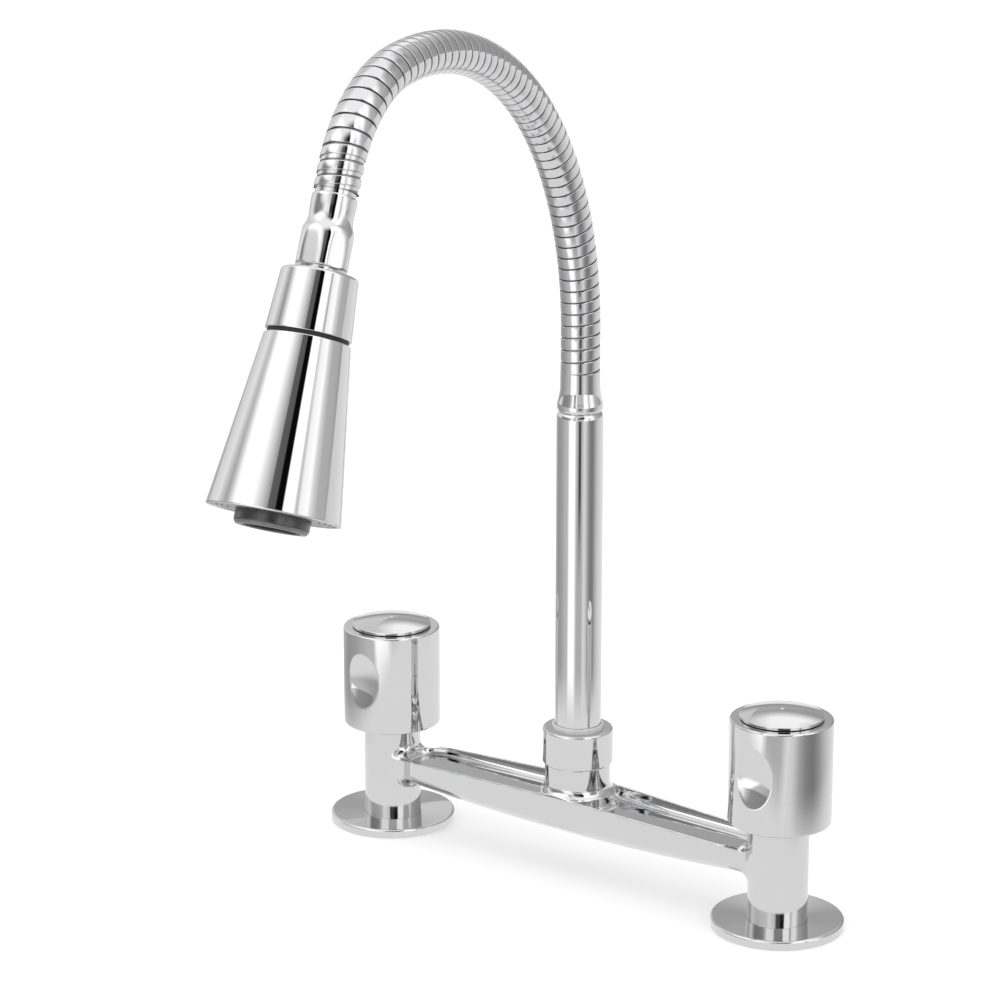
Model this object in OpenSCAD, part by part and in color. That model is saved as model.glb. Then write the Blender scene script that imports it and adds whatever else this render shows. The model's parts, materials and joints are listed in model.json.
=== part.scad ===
// Deck-mounted bridge mixer tap with two quarter-turn valves, a swivel riser
// and a stay-put ribbed gooseneck that carries a twist-to-select spray head.
// Millimetres. Z is up, the deck is z = 0, X runs along the bridge from the
// left pillar to the right one, and the spout reaches towards -Y.

/* [Bridge casting] */
// Distance between the two inlet pillars
inlet_spacing = 208; // [150:1:240]
// Outside diameter of a pillar
pillar_d = 25.4; // [25:0.1:28]
// Height of a pillar's top face above the deck
pillar_top = 50; // [48.5:0.5:54]
// Bore of the threaded inlet in the foot of a pillar
inlet_bore_d = 18.6; // [15:0.1:18.6]
// Depth of the threaded inlet
inlet_depth = 15; // [10:0.5:16]
// Height of the arms' upper edge at the hub
arm_top_hub = 37.4; // [36:0.1:39]
// Height of the arms' upper edge at the pillars
arm_top_end = 33.9; // [33.5:0.1:37]
// Width of the arms' upper edge at the hub
arm_w_hub = 31; // [29:0.5:34]
// Width of the arms' upper edge at the pillars
arm_w_end = 24.4; // [23:0.1:24.6]
// Height of the axis that the underside is rounded about
belly_z = 35; // [34:0.1:36]
// Radius of the rounded underside at the hub
belly_r_hub = 17.6; // [16.5:0.1:19]
// Radius of the rounded underside at the pillars
belly_r_end = 13.4; // [13:0.1:15]
// Height of the floor of the long troughs in the arms
trough_floor_z = 31.5; // [31:0.1:33]
// Width of the lip beside a trough
trough_lip = 1; // [0.6:0.1:2]
// Cut across each corner of a trough
trough_corner = 2.5; // [1:0.1:4]
// Diameter of the water way through the arms
water_way_d = 6; // [4:0.1:6.4]
// Height of the water way's axis
water_way_z = 26.5; // [26:0.1:27]
// Outside diameter of the hub
hub_d = 25.8; // [25.6:0.1:28]
// Height of the hub's shoulder, where the spout nut sits
hub_shoulder_z = 50; // [48:0.5:54]
// Length of the threaded neck above the shoulder
hub_neck_h = 7; // [6:0.5:9]

/* [Flanges] */
// Outside diameter of a flange
flange_d = 56.4; // [46:0.2:70]
// Thickness of a flange at its rim
flange_t = 4; // [3.2:0.1:6]
// Drop of the flange's top from the rim to the pillar
flange_dish = 0.8; // [0.2:0.1:1]
// Width of the rubber deck seal
flange_seal_w = 9; // [4:0.5:9]
// Thickness of the rubber deck seal
flange_seal_t = 1.5; // [1:0.1:2]

/* [Valves] */
// Outside diameter of the headwork below its thread
headwork_d = 17; // [16:0.1:17.6]
// Diameter of the headwork's thread
headwork_thread_d = 20.8; // [20:0.1:21]
// Length of the headwork's thread in the pillar
headwork_thread_h = 11; // [8:0.5:12]
// Across flats of the headwork's hexagon
hex_af = 19; // [17:0.5:22]
// Height of the hexagon
hex_h = 5.5; // [4:0.5:7]
// Diameter of the headwork's neck
headwork_neck_d = 15; // [13.5:0.1:16]
// Length of the headwork's neck
headwork_neck_h = 9; // [7:0.5:10]
// Diameter of the spindle in the neck
spindle_d = 9.6; // [9:0.1:10]
// Diameter of the splined end of the spindle
spline_d = 8; // [7:0.1:8.4]
// Length of the splined end
spline_h = 12.5; // [10:0.5:13]
// Thickness of each ceramic disc
disc_t = 3; // [2:0.1:3.2]
// Thickness of the rubber seat seal
seat_seal_t = 2; // [1.5:0.1:2.5]
// Sectional diameter of the spindle and foot seals
oring_w = 1.5; // [1.2:0.05:1.6]

/* [Knobs] */
// Outside diameter of a knob
knob_d = 43.4; // [40:0.2:50]
// Height of a knob
knob_h = 45; // [44:0.5:50]
// Height of a knob's lower edge above the deck
knob_z = 46.8; // [46:0.1:48]
// Diameter of the hollow in a knob
knob_hollow_d = 33; // [30:0.5:33.4]
// Thickness of a knob's top
knob_top_t = 5.7; // [5:0.1:6]
// Break of a knob's outer edges
knob_edge = 0.8; // [0.3:0.1:1.5]
// Radius of the ball that would scoop a thumb dimple
dimple_r = 26; // [22:0.5:30]
// Depth of a thumb dimple
dimple_depth = 3.1; // [2:0.1:3.4]
// Height of the dimples' middle above the knob's lower edge
dimple_z = 23.8; // [18:0.1:27]
// Number of thumb dimples round a knob
dimple_count = 2; // [2:1:4]
// Diameter of an index cap
cap_d = 35.4; // [30:0.2:38]
// Thickness of an index cap's rim
cap_rim = 1.2; // [0.8:0.1:2]
// Rise of an index cap's dome
cap_dome = 2.4; // [1:0.1:4]

/* [Riser and swivel] */
// Turn of the spout from straight ahead
spout_yaw = 9.5; // [-60:0.5:60]
// Outside diameter of the riser tube
riser_d = 20; // [19:0.1:20.4]
// Wall of the riser tube
riser_wall = 1.2; // [0.8:0.1:1.5]
// Height of the riser tube's top
riser_top = 206.6; // [120:0.2:300]
// Outside diameter of the spout nut
nut_d = 30.6; // [29.4:0.2:34]
// Height of the spout nut
nut_h = 15.8; // [15:0.1:18]
// Diameter of the foot in the hub's socket
foot_d = 18; // [17:0.1:18.4]
// Length of the foot below the hub's neck top
foot_h = 21; // [18:0.5:22]
// Thickness of the foot's shoulder
shoulder_t = 3; // [2:0.1:4]
// Height of the lower ferrule above the riser
ferrule_h = 17.2; // [14:0.2:22]

/* [Gooseneck hose] */
// Outside diameter over the ribs
hose_d = 16.8; // [16.4:0.1:18]
// Diameter at the bottom of the grooves
groove_d = 15.4; // [15.2:0.1:15.8]
// Outside diameter of the inner tube
tube_d = 8.6; // [8:0.1:8.8]
// Wall of the inner tube
tube_wall = 1.1; // [0.8:0.1:1.5]
// Straight run above the lower ferrule
straight_in = 17.5; // [17:0.5:30]
// Radius of the first bend
bend1_r = 131; // [110:1:180]
// Angle of the first bend
bend1_a = 100; // [80:1:100]
// Radius of the second bend
bend2_r = 56; // [48:1:80]
// Angle of the second bend
bend2_a = 57; // [55:1:78]
// Straight run before the upper ferrule
straight_out = 7; // [7:0.5:20]
// Distance from one rib to the next
rib_pitch = 5.3; // [4.5:0.1:7]
// Width of the groove between two ribs
groove_w = 1; // [0.8:0.1:1.4]
// Width of the gap at each bending joint
joint_gap = 1.8; // [1.8:0.1:2.2]

/* [Spray head] */
// Length of the upper ferrule down to the collar
neck_h = 30.2; // [28:0.2:36]
// Across flats of the upper ferrule's grip
grip_af = 19.2; // [18.6:0.1:20]
// Diameter of the collar's upper end
collar_d_top = 28.4; // [27.6:0.1:31]
// Diameter of the collar's lower end
collar_d_low = 31.9; // [31:0.1:34]
// Height of the collar
collar_h = 23; // [20:0.5:28]
// Height of the dark ring between the collar and the skirt
ring_h = 1.2; // [0.8:0.1:2]
// Diameter of the skirt's lower end
skirt_d_low = 49.4; // [49:0.2:56]
// Height of the conical skirt
skirt_h = 64.4; // [62:0.2:70]
// Wall of the skirt
skirt_wall = 1.8; // [1.2:0.1:2]
// Diameter of the aerator's outlet ring
aerator_d = 27.6; // [27:0.2:30]
// How far the aerator stands below the face
aerator_out = 5; // [4:0.1:9]
// Diameter of a spray nozzle
nozzle_d = 0.9; // [0.6:0.1:1.2]
// Number of nozzle groups round the face
nozzle_groups = 6; // [4:1:8]

/* [Clearances] */
// Radial clearance of a turning fit
run_gap = 0.05; // [0.02:0.01:0.08]
// Radial clearance between pieces that stay together
seat_gap = 0.05; // [0.02:0.01:0.08]
// Gap between pieces that move near each other
clear_gap = 0.3; // [0.25:0.01:0.35]

/* [Hidden] */
$fn = 64;
link_count = 7;
LINKS = [for (i = [1:link_count]) str("hose_link_", i)];
TUBES = [for (i = [1:link_count]) str("inner_tube_", i)];

// Each side as its sign along X
left = -1;
right = 1;

// Bridge
pillar_x = inlet_spacing / 2;
arm_half = pillar_x - 2;
web_t = 6.5;
seat_z = inlet_depth + web_t;
port_d = 9;
chamber_d = headwork_d + 2.6;
chamber_top = pillar_top - headwork_thread_h;
trough_x1 = hub_d / 2 - 2.4;
trough_x2 = pillar_x - 3;
hub_neck_d = nut_d - 5.4;
neck_top = hub_shoulder_z + hub_neck_h;
socket_d = foot_d + 2 * run_gap;
socket_floor = neck_top - foot_h - 2;
mixing_d = 14;

// Deck seal and flange
flange_bore_d = pillar_d + 2 * seat_gap;
seal_d1 = flange_bore_d + 4;
seal_d2 = seal_d1 + 2 * flange_seal_w;

// Valve stack, from the seat upwards
disc1_z = seat_z + seat_seal_t;
disc2_z = disc1_z + disc_t;
drive_z = disc2_z + disc_t;
drive_t = 3;
drive_w = 6;
window_w = 7;
shell_wall = 0.9;
disc_d = headwork_d - 2 * shell_wall - 0.2;
spindle_bore_z = drive_z + drive_t + clear_gap;
washer_t = 1;
hex_z = pillar_top + washer_t;
washer_d = pillar_d - 2;
neck_z = hex_z + 1.5 + hex_h;
spline_z = neck_z + headwork_neck_h;
spindle_top = spline_z + spline_h;
oring_z = neck_z + 3;
tap_d = 3.4;
screw_d = 3.3;

// Knob stack
knob_top = knob_z + knob_h;
boss_top = spindle_top + 1;
boss_d = 14;
boss_z = spline_z + clear_gap;
well_d = 28;
well_wall = 1.8;
well_out_d = well_d + 2 * well_wall;
well_z = boss_top + 2;
cap_gap = 0.3;
cap_z = knob_top + cap_gap;
cap_plug_d = well_d - 2 * seat_gap;

// Swivel stack
shoulder_d = riser_d + 3;
shoulder_top = neck_top + shoulder_t;
nut_top = hub_shoulder_z + nut_h;
guide_flange_t = 1.9;
guide_z = shoulder_top + 0.1;
guide_top = nut_top + 2;
guide_d = riser_d + 2.2;
foot_bore_d = 12;
foot_plug_h = 14;
riser_in_d = riser_d - 2 * riser_wall;
groove_depth = oring_w + seat_gap;
groove_h = oring_w + 0.3;
foot_groove_high = neck_top - foot_h / 3;
foot_groove_low = neck_top - foot_h * 5 / 7;

// Route of the hose: distances along its centre line
hose_z = riser_top + ferrule_h;
ferrule_plug_h = 10;
s1 = straight_in;
s2 = s1 + bend1_r * bend1_a * PI / 180;
s3 = s2 + bend2_r * bend2_a * PI / 180;
route_len = s3 + straight_out;
head_tilt = bend1_a + bend2_a;
bend1_links = 5;
bend2_links = link_count - bend1_links;
stub_d = 13.8;
stub_h = 9;
link_bore_d = tube_d + 2 * clear_gap;
ball_bore_d = link_bore_d + 0.4;
rib_inset = 0.1;
ball_d = groove_d - 2.2;
ball_out = 4.2;
socket_h = ball_out + 1.4;
ball_neck = joint_gap / 2 + 1.7;

// Spray head: distances along its own axis from the end of the hose
thread_d = 15;
thread_h = 9;
grip_top = 14;
grip_low = neck_h - 1.6;
grip_h = grip_low - grip_top;
bell_low = 10.2;
core_z = neck_h + 2.9;
thread_low = core_z + thread_h;
collar_low = neck_h + collar_h;
core_d = collar_d_top - 2.4;
skirt_z = collar_low + ring_h + 0.2;
face_low = skirt_z + skirt_h;
core_neck_d = 16;
core_bore_d = 9;
core_rise = 24;
core_low = face_low - core_rise;
core_oring_z = core_low - 4.5;
port_x = core_bore_d / 4;
core_port_d = 3;
web_low = skirt_z + 3.4;
clip_z = web_low + 0.2;
clip_t = 1.2;
sleeve_d = 20;
sleeve_z = core_low - 9;
diverter_t = 2.5;
ledge_z = core_low + 0.1 + diverter_t;
plate_z = core_low + 7;
plate_t = 2.5;
cup_d = aerator_d - 3.2;
cup_wall = 1.4;
feed_x = cup_d / 2 + cup_wall + 1.4;
face_t = 2.6;
face_z = face_low - face_t - 0.4;
aerator_low = face_low + aerator_out;
aerator_wall = 1.5;
aerator_ledge = 1.5;
seal_low = plate_z + plate_t + 1.4;

function skirt_r(h) = collar_d_low / 2 + (skirt_d_low - collar_d_low) / 2 * (h - skirt_z) / skirt_h;

// Heading of the hose at a distance along it: 0 is up, 180 is down
function route_turn(s) =
    s <= s1 ? 0 :
    s <= s2 ? (s - s1) / bend1_r * 180 / PI :
    s <= s3 ? bend1_a + (s - s2) / bend2_r * 180 / PI : head_tilt;

// Reach of the hose's centre line from the riser's axis
function route_reach(s) =
    s <= s1 ? 0 :
    s <= s2 ? bend1_r * (1 - cos(route_turn(s))) :
    s <= s3 ? route_reach(s2) + bend2_r * (cos(bend1_a) - cos(route_turn(s))) :
    route_reach(s3) + (s - s3) * sin(head_tilt);

// Height of the hose's centre line
function route_z(s) =
    s <= s1 ? hose_z + s :
    s <= s2 ? hose_z + s1 + bend1_r * sin(route_turn(s)) :
    s <= s3 ? route_z(s2) + bend2_r * (sin(route_turn(s)) - sin(bend1_a)) :
    route_z(s3) + (s - s3) * cos(head_tilt);

// Distance of joint j: 0 is the hose's lower end, link_count its upper end
function joint_s(j) =
    j <= bend1_links ? s2 * j / bend1_links :
    j < link_count ? s2 + (s3 - s2) * (j - bend1_links) / bend2_links : route_len;

// Each link is drawn from one point of the route: where its bend starts, or
// for the last link where its bend ends, seen backwards
function link_start(i) = i == 1 ? s1 : i == link_count ? s3 : joint_s(i - 1);
function link_u(i, s) = i == link_count ? s3 - s : s - link_start(i);
function link_r(i) = i <= bend1_links ? bend1_r : bend2_r;

module at_pillar(side) {
    translate([side * pillar_x, 0, 0]) children();
}

module at_spout() {
    rotate([0, 0, spout_yaw]) children();
}

// Puts its children's Z along the hose at distance s
module at_route(s) {
    at_spout()
        translate([0, -route_reach(s), route_z(s)])
            rotate([route_turn(s), 0, 0])
                children();
}

module at_head() {
    at_route(route_len) children();
}

module tube(d1, d2, z1, z2) {
    translate([0, 0, z1])
        difference() {
            cylinder(d = d1, h = z2 - z1);
            translate([0, 0, -1]) cylinder(d = d2, h = z2 - z1 + 2);
        }
}

module rod(d, z1, z2) {
    translate([0, 0, z1]) cylinder(d = d, h = z2 - z1);
}

module hex_rod(af, z1, z2) {
    translate([0, 0, z1]) cylinder(d = af / cos(30), h = z2 - z1, $fn = 6);
}

// Groove for a round seal, cut into a shaft of diameter d
module ring_groove(d, z) {
    tube(d + 2, d - 2 * groove_depth, z - groove_h / 2, z + groove_h / 2);
}

// The round seal in that groove
module groove_seal(d, z) {
    translate([0, 0, z])
        rotate_extrude()
            translate([d / 2 - groove_depth / 2, 0])
                circle(d = oring_w);
}

module on_link(i) {
    at_route(link_start(i)) {
        if (i == link_count) mirror([0, 0, 1]) children();
        else children();
    }
}

// Round rod along link i between two distances of the route: straight below
// the link's own start, bent above it
module link_rod(i, a, b, d) {
    u1 = min(link_u(i, a), link_u(i, b));
    u2 = max(link_u(i, a), link_u(i, b));
    r = link_r(i);
    from = max(u1, 0) / r * 180 / PI;
    to = u2 / r * 180 / PI;
    if (u1 < 0) rod(d, u1, min(u2, 0));
    if (u2 > 0)
        translate([0, -r, 0])
            rotate([90, 0, 90])
                rotate([0, 0, from])
                    rotate_extrude(angle = to - from, $fn = 96)
                        translate([r, 0]) circle(d = d);
}

// Bridge casting: pillars, arms and hub in one piece
module bridge_body() {
    color("lightgray")
        difference() {
            union() {
                arms();
                rod(hub_d, water_way_z - 2, hub_shoulder_z);
                rod(hub_neck_d, hub_shoulder_z - 1, neck_top);
                for (side = [left, right]) at_pillar(side) rod(pillar_d, 0, pillar_top);
            }
            rod(socket_d, socket_floor, neck_top + 1);
            rod(mixing_d, water_way_z - 1.5, socket_floor + 1);
            translate([0, 0, water_way_z]) rotate([0, 90, 0]) rod(water_way_d, -pillar_x, pillar_x);
            for (side = [left, right]) at_pillar(side) pillar_bores();
        }
}

module pillar_bores() {
    rod(inlet_bore_d, -1, inlet_depth);
    rod(port_d, inlet_depth - 1, seat_z + 1);
    rod(chamber_d, seat_z, chamber_top);
    rod(headwork_thread_d + 2 * seat_gap, chamber_top - 1, pillar_top + 1);
}

module arms() {
    difference() {
        intersection() {
            belly();
            plan_taper();
            side_taper();
        }
        for (side = [left, right]) trough(side);
    }
}

// Barrel whose radius falls from the hub to the pillars along one arc
module belly() {
    fall = belly_r_hub - belly_r_end;
    arc_r = (arm_half * arm_half + fall * fall) / (2 * fall);
    translate([0, 0, belly_z])
        rotate([0, 90, 0])
            rotate_extrude($fn = 120)
                intersection() {
                    translate([belly_r_hub - arc_r, 0]) circle(r = arc_r, $fn = 1440);
                    translate([0, -arm_half]) square([belly_r_hub + 1, 2 * arm_half]);
                }
}

module plan_taper() {
    h = arm_w_hub / 2;
    e = arm_w_end / 2;
    linear_extrude(arm_top_hub + 1)
        polygon([[-arm_half, -e], [0, -h], [arm_half, -e],
                 [arm_half, e], [0, h], [-arm_half, e]]);
}

module side_taper() {
    translate([0, arm_w_hub, 0])
        rotate([90, 0, 0])
            linear_extrude(2 * arm_w_hub)
                polygon([[-arm_half, 0], [arm_half, 0], [arm_half, arm_top_end],
                         [0, arm_top_hub], [-arm_half, arm_top_end]]);
}

// Long open recess in the top of one arm
module trough(side) {
    w1 = arm_w_hub / 2 - trough_lip;
    w2 = arm_w_end / 2 - trough_lip;
    c = trough_corner;
    translate([0, 0, trough_floor_z])
        linear_extrude(arm_top_hub)
            polygon([[side * trough_x1, -w1 + c], [side * (trough_x1 + c), -w1],
                     [side * trough_x2, -w2], [side * trough_x2, w2],
                     [side * (trough_x1 + c), w1], [side * trough_x1, w1 - c]]);
}

// Loose round plate that covers the deck hole round a pillar
module flange(side) {
    r1 = flange_bore_d / 2;
    r2 = flange_d / 2;
    t = flange_t;
    color("silver")
        at_pillar(side)
            difference() {
                rotate_extrude($fn = 96)
                    polygon([[r1, 0], [r2, 0], [r2, t - 1], [r2 - 0.3, t - 0.3],
                             [r2 - 1, t], [r1, t - flange_dish]]);
                tube(seal_d2, seal_d1, -1, flange_seal_t);
            }
}

module flange_seal(side) {
    color("dimgray")
        at_pillar(side) tube(seal_d2 - 2 * seat_gap, seal_d1 + 2 * seat_gap, 0, flange_seal_t - seat_gap);
}

// Quarter-turn headwork: shell, thread, hexagon and neck
module valve_body(side) {
    color("goldenrod")
        at_pillar(side)
            difference() {
                union() {
                    rod(headwork_d, disc1_z, chamber_top + 1);
                    rod(headwork_thread_d, chamber_top, hex_z);
                    rod(washer_d, hex_z, hex_z + 1.5);
                    hex_rod(hex_af, hex_z + 1.5, neck_z);
                    rod(headwork_neck_d, neck_z - 1, spline_z);
                }
                rod(disc_d + 0.2, disc1_z - 1, spindle_bore_z);
                rod(spindle_d + 2 * run_gap, spindle_bore_z - 1, spline_z + 1);
                translate([-headwork_d, -window_w / 2, drive_z])
                    cube([2 * headwork_d, window_w, drive_t]);
            }
}

// A disc with two opposite quarter openings
module quarter_disc(d, z, turn) {
    r = d / 2 - 1.6;
    rotate([0, 0, turn])
        difference() {
            rod(d, z, z + disc_t);
            for (a = [0, 180])
                rotate([0, 0, a])
                    translate([0, 0, z - 1])
                        rotate([0, 0, 4])
                            rotate_extrude(angle = 82) translate([1.4, 0]) square([r - 1.4, disc_t + 2]);
        }
}

module fixed_disc(side) {
    color("ivory") at_pillar(side) quarter_disc(disc_d, disc1_z, 0);
}

module moving_disc(side) {
    color("white") at_pillar(side) quarter_disc(disc_d, disc2_z, 90);
}

module seat_seal(side) {
    color("dimgray") at_pillar(side) tube(headwork_d, port_d, seat_z, disc1_z);
}

// Spindle: drive plate on the moving disc, round stem and splined end
module spindle(side) {
    color("darkkhaki")
        at_pillar(side)
            difference() {
                union() {
                    intersection() {
                        rod(disc_d - 1, drive_z, drive_z + drive_t);
                        translate([-disc_d, -drive_w / 2, drive_z]) cube([2 * disc_d, drive_w, drive_t]);
                    }
                    rod(spindle_d, drive_z + drive_t - 1, spline_z);
                    rod(spline_d, spline_z - 1, spindle_top);
                }
                ring_groove(spindle_d, oring_z);
                rod(tap_d, spline_z, spindle_top + 1);
            }
}

module spindle_oring(side) {
    color("dimgray") at_pillar(side) groove_seal(spindle_d, oring_z);
}

module body_washer(side) {
    color("dimgray")
        at_pillar(side) tube(washer_d, headwork_thread_d + 2 * seat_gap, pillar_top, hex_z);
}

module knob_skin() {
    r = knob_d / 2;
    e = knob_edge;
    rotate_extrude($fn = 96)
        polygon([[0, knob_z], [r - e, knob_z], [r - 0.3 * e, knob_z + 0.3 * e],
                 [r, knob_z + e], [r, knob_top - e], [r - 0.3 * e, knob_top - 0.3 * e],
                 [r - e, knob_top], [0, knob_top]]);
}

// Hollow round knob with thumb dimples, a splined boss and a well for its screw
module knob(side) {
    color("silver")
        at_pillar(side)
            difference() {
                union() {
                    difference() {
                        knob_skin();
                        rod(knob_hollow_d, knob_z - 1, knob_top - knob_top_t);
                        rod(well_d, well_z, knob_top + 1);
                    }
                    rod(boss_d, boss_z, well_z);
                    rod(well_out_d, well_z - well_wall, well_z);
                    tube(well_out_d, well_d, well_z - 1, knob_top - knob_top_t + 1);
                }
                rod(spline_d + 2 * seat_gap, boss_z - 1, boss_top);
                rod(screw_d + 0.4, boss_top - 1, well_z + 1);
                for (i = [0:dimple_count - 1])
                    rotate([0, 0, -90 + i * 360 / dimple_count])
                        translate([knob_d / 2 + dimple_r - dimple_depth, 0, knob_z + dimple_z])
                            sphere(r = dimple_r, $fn = 128);
            }
}

module knob_screw(side) {
    color("gray")
        at_pillar(side)
            difference() {
                union() {
                    rod(screw_d, spline_z + 1, well_z + 1);
                    rod(7, well_z, well_z + 2.6);
                }
                hex_rod(2.5, well_z + 1.2, well_z + 4);
            }
}

// Domed cap with a plug that presses into the knob's well
module index_cap(side) {
    r = cap_d / 2;
    dome_r = (r * r + cap_dome * cap_dome) / (2 * cap_dome);
    color("silver")
        at_pillar(side)
            difference() {
                union() {
                    rod(cap_d, cap_z, cap_z + cap_rim);
                    translate([0, 0, cap_z + cap_rim])
                        rotate_extrude($fn = 96)
                            intersection() {
                                translate([0, cap_dome - dome_r]) circle(r = dome_r, $fn = 720);
                                square([r, cap_dome + 1]);
                            }
                    rod(cap_plug_d, cap_z - 2.6, cap_z + 0.5);
                }
                rod(cap_plug_d - 3, cap_z - 3, cap_z + cap_rim - 0.4);
            }
}

// Nut that holds the spout down on the hub
module spout_nut() {
    e = 0.9;
    r = nut_d / 2;
    color("lightgray")
        difference() {
            rotate_extrude($fn = 96)
                polygon([[0, hub_shoulder_z], [r - e, hub_shoulder_z], [r, hub_shoulder_z + e],
                         [r, nut_top - e], [r - e, nut_top], [0, nut_top]]);
            rod(hub_neck_d + 2 * seat_gap, hub_shoulder_z - 1, guide_z + guide_flange_t + seat_gap);
            rod(guide_d + 2 * seat_gap, hub_shoulder_z, nut_top + 1);
        }
}

// Plastic ring that centres the riser in the nut
module guide_ring() {
    color("gainsboro")
        difference() {
            union() {
                rod(hub_neck_d, guide_z, guide_z + guide_flange_t);
                rod(guide_d, guide_z, guide_top - 0.5);
                translate([0, 0, guide_top - 0.5]) cylinder(d1 = guide_d, d2 = guide_d - 1, h = 0.5);
            }
            rod(riser_d + 2 * run_gap, guide_z - 1, guide_top + 1);
        }
}

// Turned foot under the riser: plug, shoulder and sealed journal
module spout_foot() {
    color("goldenrod")
        at_spout()
            difference() {
                union() {
                    rod(foot_d, neck_top - foot_h, neck_top + 1);
                    rod(shoulder_d, neck_top, shoulder_top);
                    rod(riser_in_d - 2 * seat_gap, shoulder_top - 1, shoulder_top + foot_plug_h);
                }
                rod(foot_bore_d, neck_top - foot_h - 1, shoulder_top + foot_plug_h + 1);
                for (z = [foot_groove_high, foot_groove_low]) ring_groove(foot_d, z);
            }
}

module foot_oring(z) {
    color("dimgray") at_spout() groove_seal(foot_d, z);
}

// Straight tube with its upper end rolled in over the ferrule
module riser_tube() {
    r1 = riser_in_d / 2;
    r2 = riser_d / 2;
    z = riser_top;
    color("lightgray")
        at_spout()
            rotate_extrude($fn = 96)
                polygon([[r1, shoulder_top], [r2, shoulder_top], [r2, z - 3.2], [r2 - 0.25, z - 1.6],
                         [r2 - 0.7, z - 0.6], [r1 + 0.1, z], [r1, z]]);
}

// Bell-shaped ferrule that joins the hose to the riser
module lower_ferrule() {
    r0 = riser_in_d / 2;
    rt = hose_d / 2 + 0.1;
    z = riser_top;
    color("silver")
        at_spout()
            difference() {
                rotate_extrude($fn = 96)
                    polygon([[0, z - ferrule_plug_h], [r0 - seat_gap, z - ferrule_plug_h],
                             [r0 - seat_gap, z], [r0 + 0.1, z], [r0 + 0.7, z + 0.8],
                             [riser_d / 2 - 0.1, z + 2.7], [riser_d / 2 - 0.6, z + 5.2],
                             [rt + 0.1, z + 9.2], [rt, hose_z], [0, hose_z]]);
                rod(stub_d + 2 * seat_gap, hose_z - stub_h - 0.5, hose_z + 1);
                rod(link_bore_d + 1, z - ferrule_plug_h - 1, hose_z);
            }
}

// One rigid length of the ribbed hose. A ball at its upper end sits in the
// socket of the next length, with its centre on the joint between the two.
module hose_link(i) {
    a = joint_s(i - 1);
    b = joint_s(i);
    first = i == 1;
    last = i == link_count;
    a_face = first ? a : a + joint_gap / 2;
    b_face = last ? b : b - joint_gap / 2;
    color("gainsboro")
        difference() {
            union() {
                on_link(i) {
                    link_rod(i, a_face, b_face, groove_d);
                    ribs(i, a, b, a_face + rib_inset, b_face - rib_inset);
                    if (first) rod(stub_d, -s1 - stub_h, 1 - s1);
                    if (last) rod(stub_d, -straight_out - stub_h, 1 - straight_out);
                }
                if (!last) at_route(b) ball();
            }
            on_link(i)
                link_rod(i, first ? -stub_h - 1 : a + socket_h - 1,
                         last ? b + stub_h + 1 : b - joint_gap, link_bore_d);
            if (!first) at_route(a) rod(ball_d + 2 * clear_gap, -joint_gap, socket_h);
            if (!last) at_route(b) rod(ball_bore_d, -joint_gap - 1, ball_out + 1);
        }
}

// Ribs of link i from joint a to joint b, kept between two limits
module ribs(i, a, b, low, high) {
    n = round((b - a) / rib_pitch);
    p = (b - a) / n;
    for (k = [0:n - 1])
        link_rod(i, max(low, a + k * p + groove_w / 2),
                 min(high, a + (k + 1) * p - groove_w / 2), hose_d);
}

module ball() {
    intersection() {
        sphere(d = ball_d);
        rod(ball_d + 1, -ball_neck, ball_out);
    }
    rod(ball_d - 0.8, -ball_neck, 0);
}

// Length of the inner tube that rides in one link
module inner_tube(i) {
    a = i == 1 ? -stub_h : joint_s(i - 1) + socket_h + clear_gap;
    b = i == link_count ? route_len + stub_h : joint_s(i) + ball_out - clear_gap;
    color("white")
        on_link(i)
            difference() {
                link_rod(i, a, b, tube_d);
                link_rod(i, a - 1, b + 1, tube_d - 2 * tube_wall);
            }
}

// Ferrule between the hose and the head: lip, bell and six soft flats
module upper_ferrule() {
    r = hose_d / 2;
    grip_r = grip_af / 2 + 0.6;
    color("silver")
        at_head()
            difference() {
                rotate_extrude($fn = 96)
                    polygon([[0, 0], [r - 0.8, 0], [r - 0.8, 1.6], [r, 2.2], [r - 0.2, bell_low],
                             [grip_r - 1, grip_top - 0.5], [grip_r - 0.25, grip_top + grip_h / 4],
                             [grip_r, grip_low - grip_h / 3],
                             [grip_r, grip_low], [thread_d / 2, grip_low],
                             [thread_d / 2, thread_low], [0, thread_low]]);
                difference() {
                    rod(2 * grip_r + 2, grip_top, neck_h);
                    hex_rod(grip_af, grip_top - 1, neck_h + 1);
                }
                rod(stub_d + 2 * seat_gap, -1, stub_h + 0.5);
                rod(link_bore_d, 0, thread_low + 1);
            }
}

module ferrule_washer() {
    color("dimgray") at_head() tube(thread_d - 0.6, link_bore_d, thread_low, thread_low + 2);
}

// Chromed shell over the top of the head
module head_collar() {
    r1 = collar_d_top / 2;
    r2 = collar_d_low / 2;
    color("silver")
        at_head()
            difference() {
                rotate_extrude($fn = 96)
                    polygon([[0, neck_h], [r1 - 0.5, neck_h], [r1, neck_h + 0.5],
                         [r2, collar_low], [0, collar_low]]);
                rod(core_d + 2 * seat_gap, core_z - seat_gap, collar_low + 1);
                rod(thread_d + 2 * clear_gap, neck_h - 1, core_z + 1);
            }
}

// Body of the head: takes the ferrule above and carries the skirt on its neck
module head_core() {
    color("white")
        at_head()
            difference() {
                union() {
                    rod(core_d, core_z, collar_low);
                    rod(core_neck_d, collar_low - 1, core_low);
                }
                rod(thread_d + 2 * seat_gap, core_z - 1, thread_low + 2);
                rod(core_bore_d, core_z, core_low - 3);
                translate([port_x, 0, 0]) rod(core_port_d, core_low - 4, core_low + 1);
                tube(core_neck_d + 2, core_neck_d - 1.6, clip_z - 0.05, clip_z + clip_t + 0.05);
                ring_groove(core_neck_d, core_oring_z);
            }
}

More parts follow.
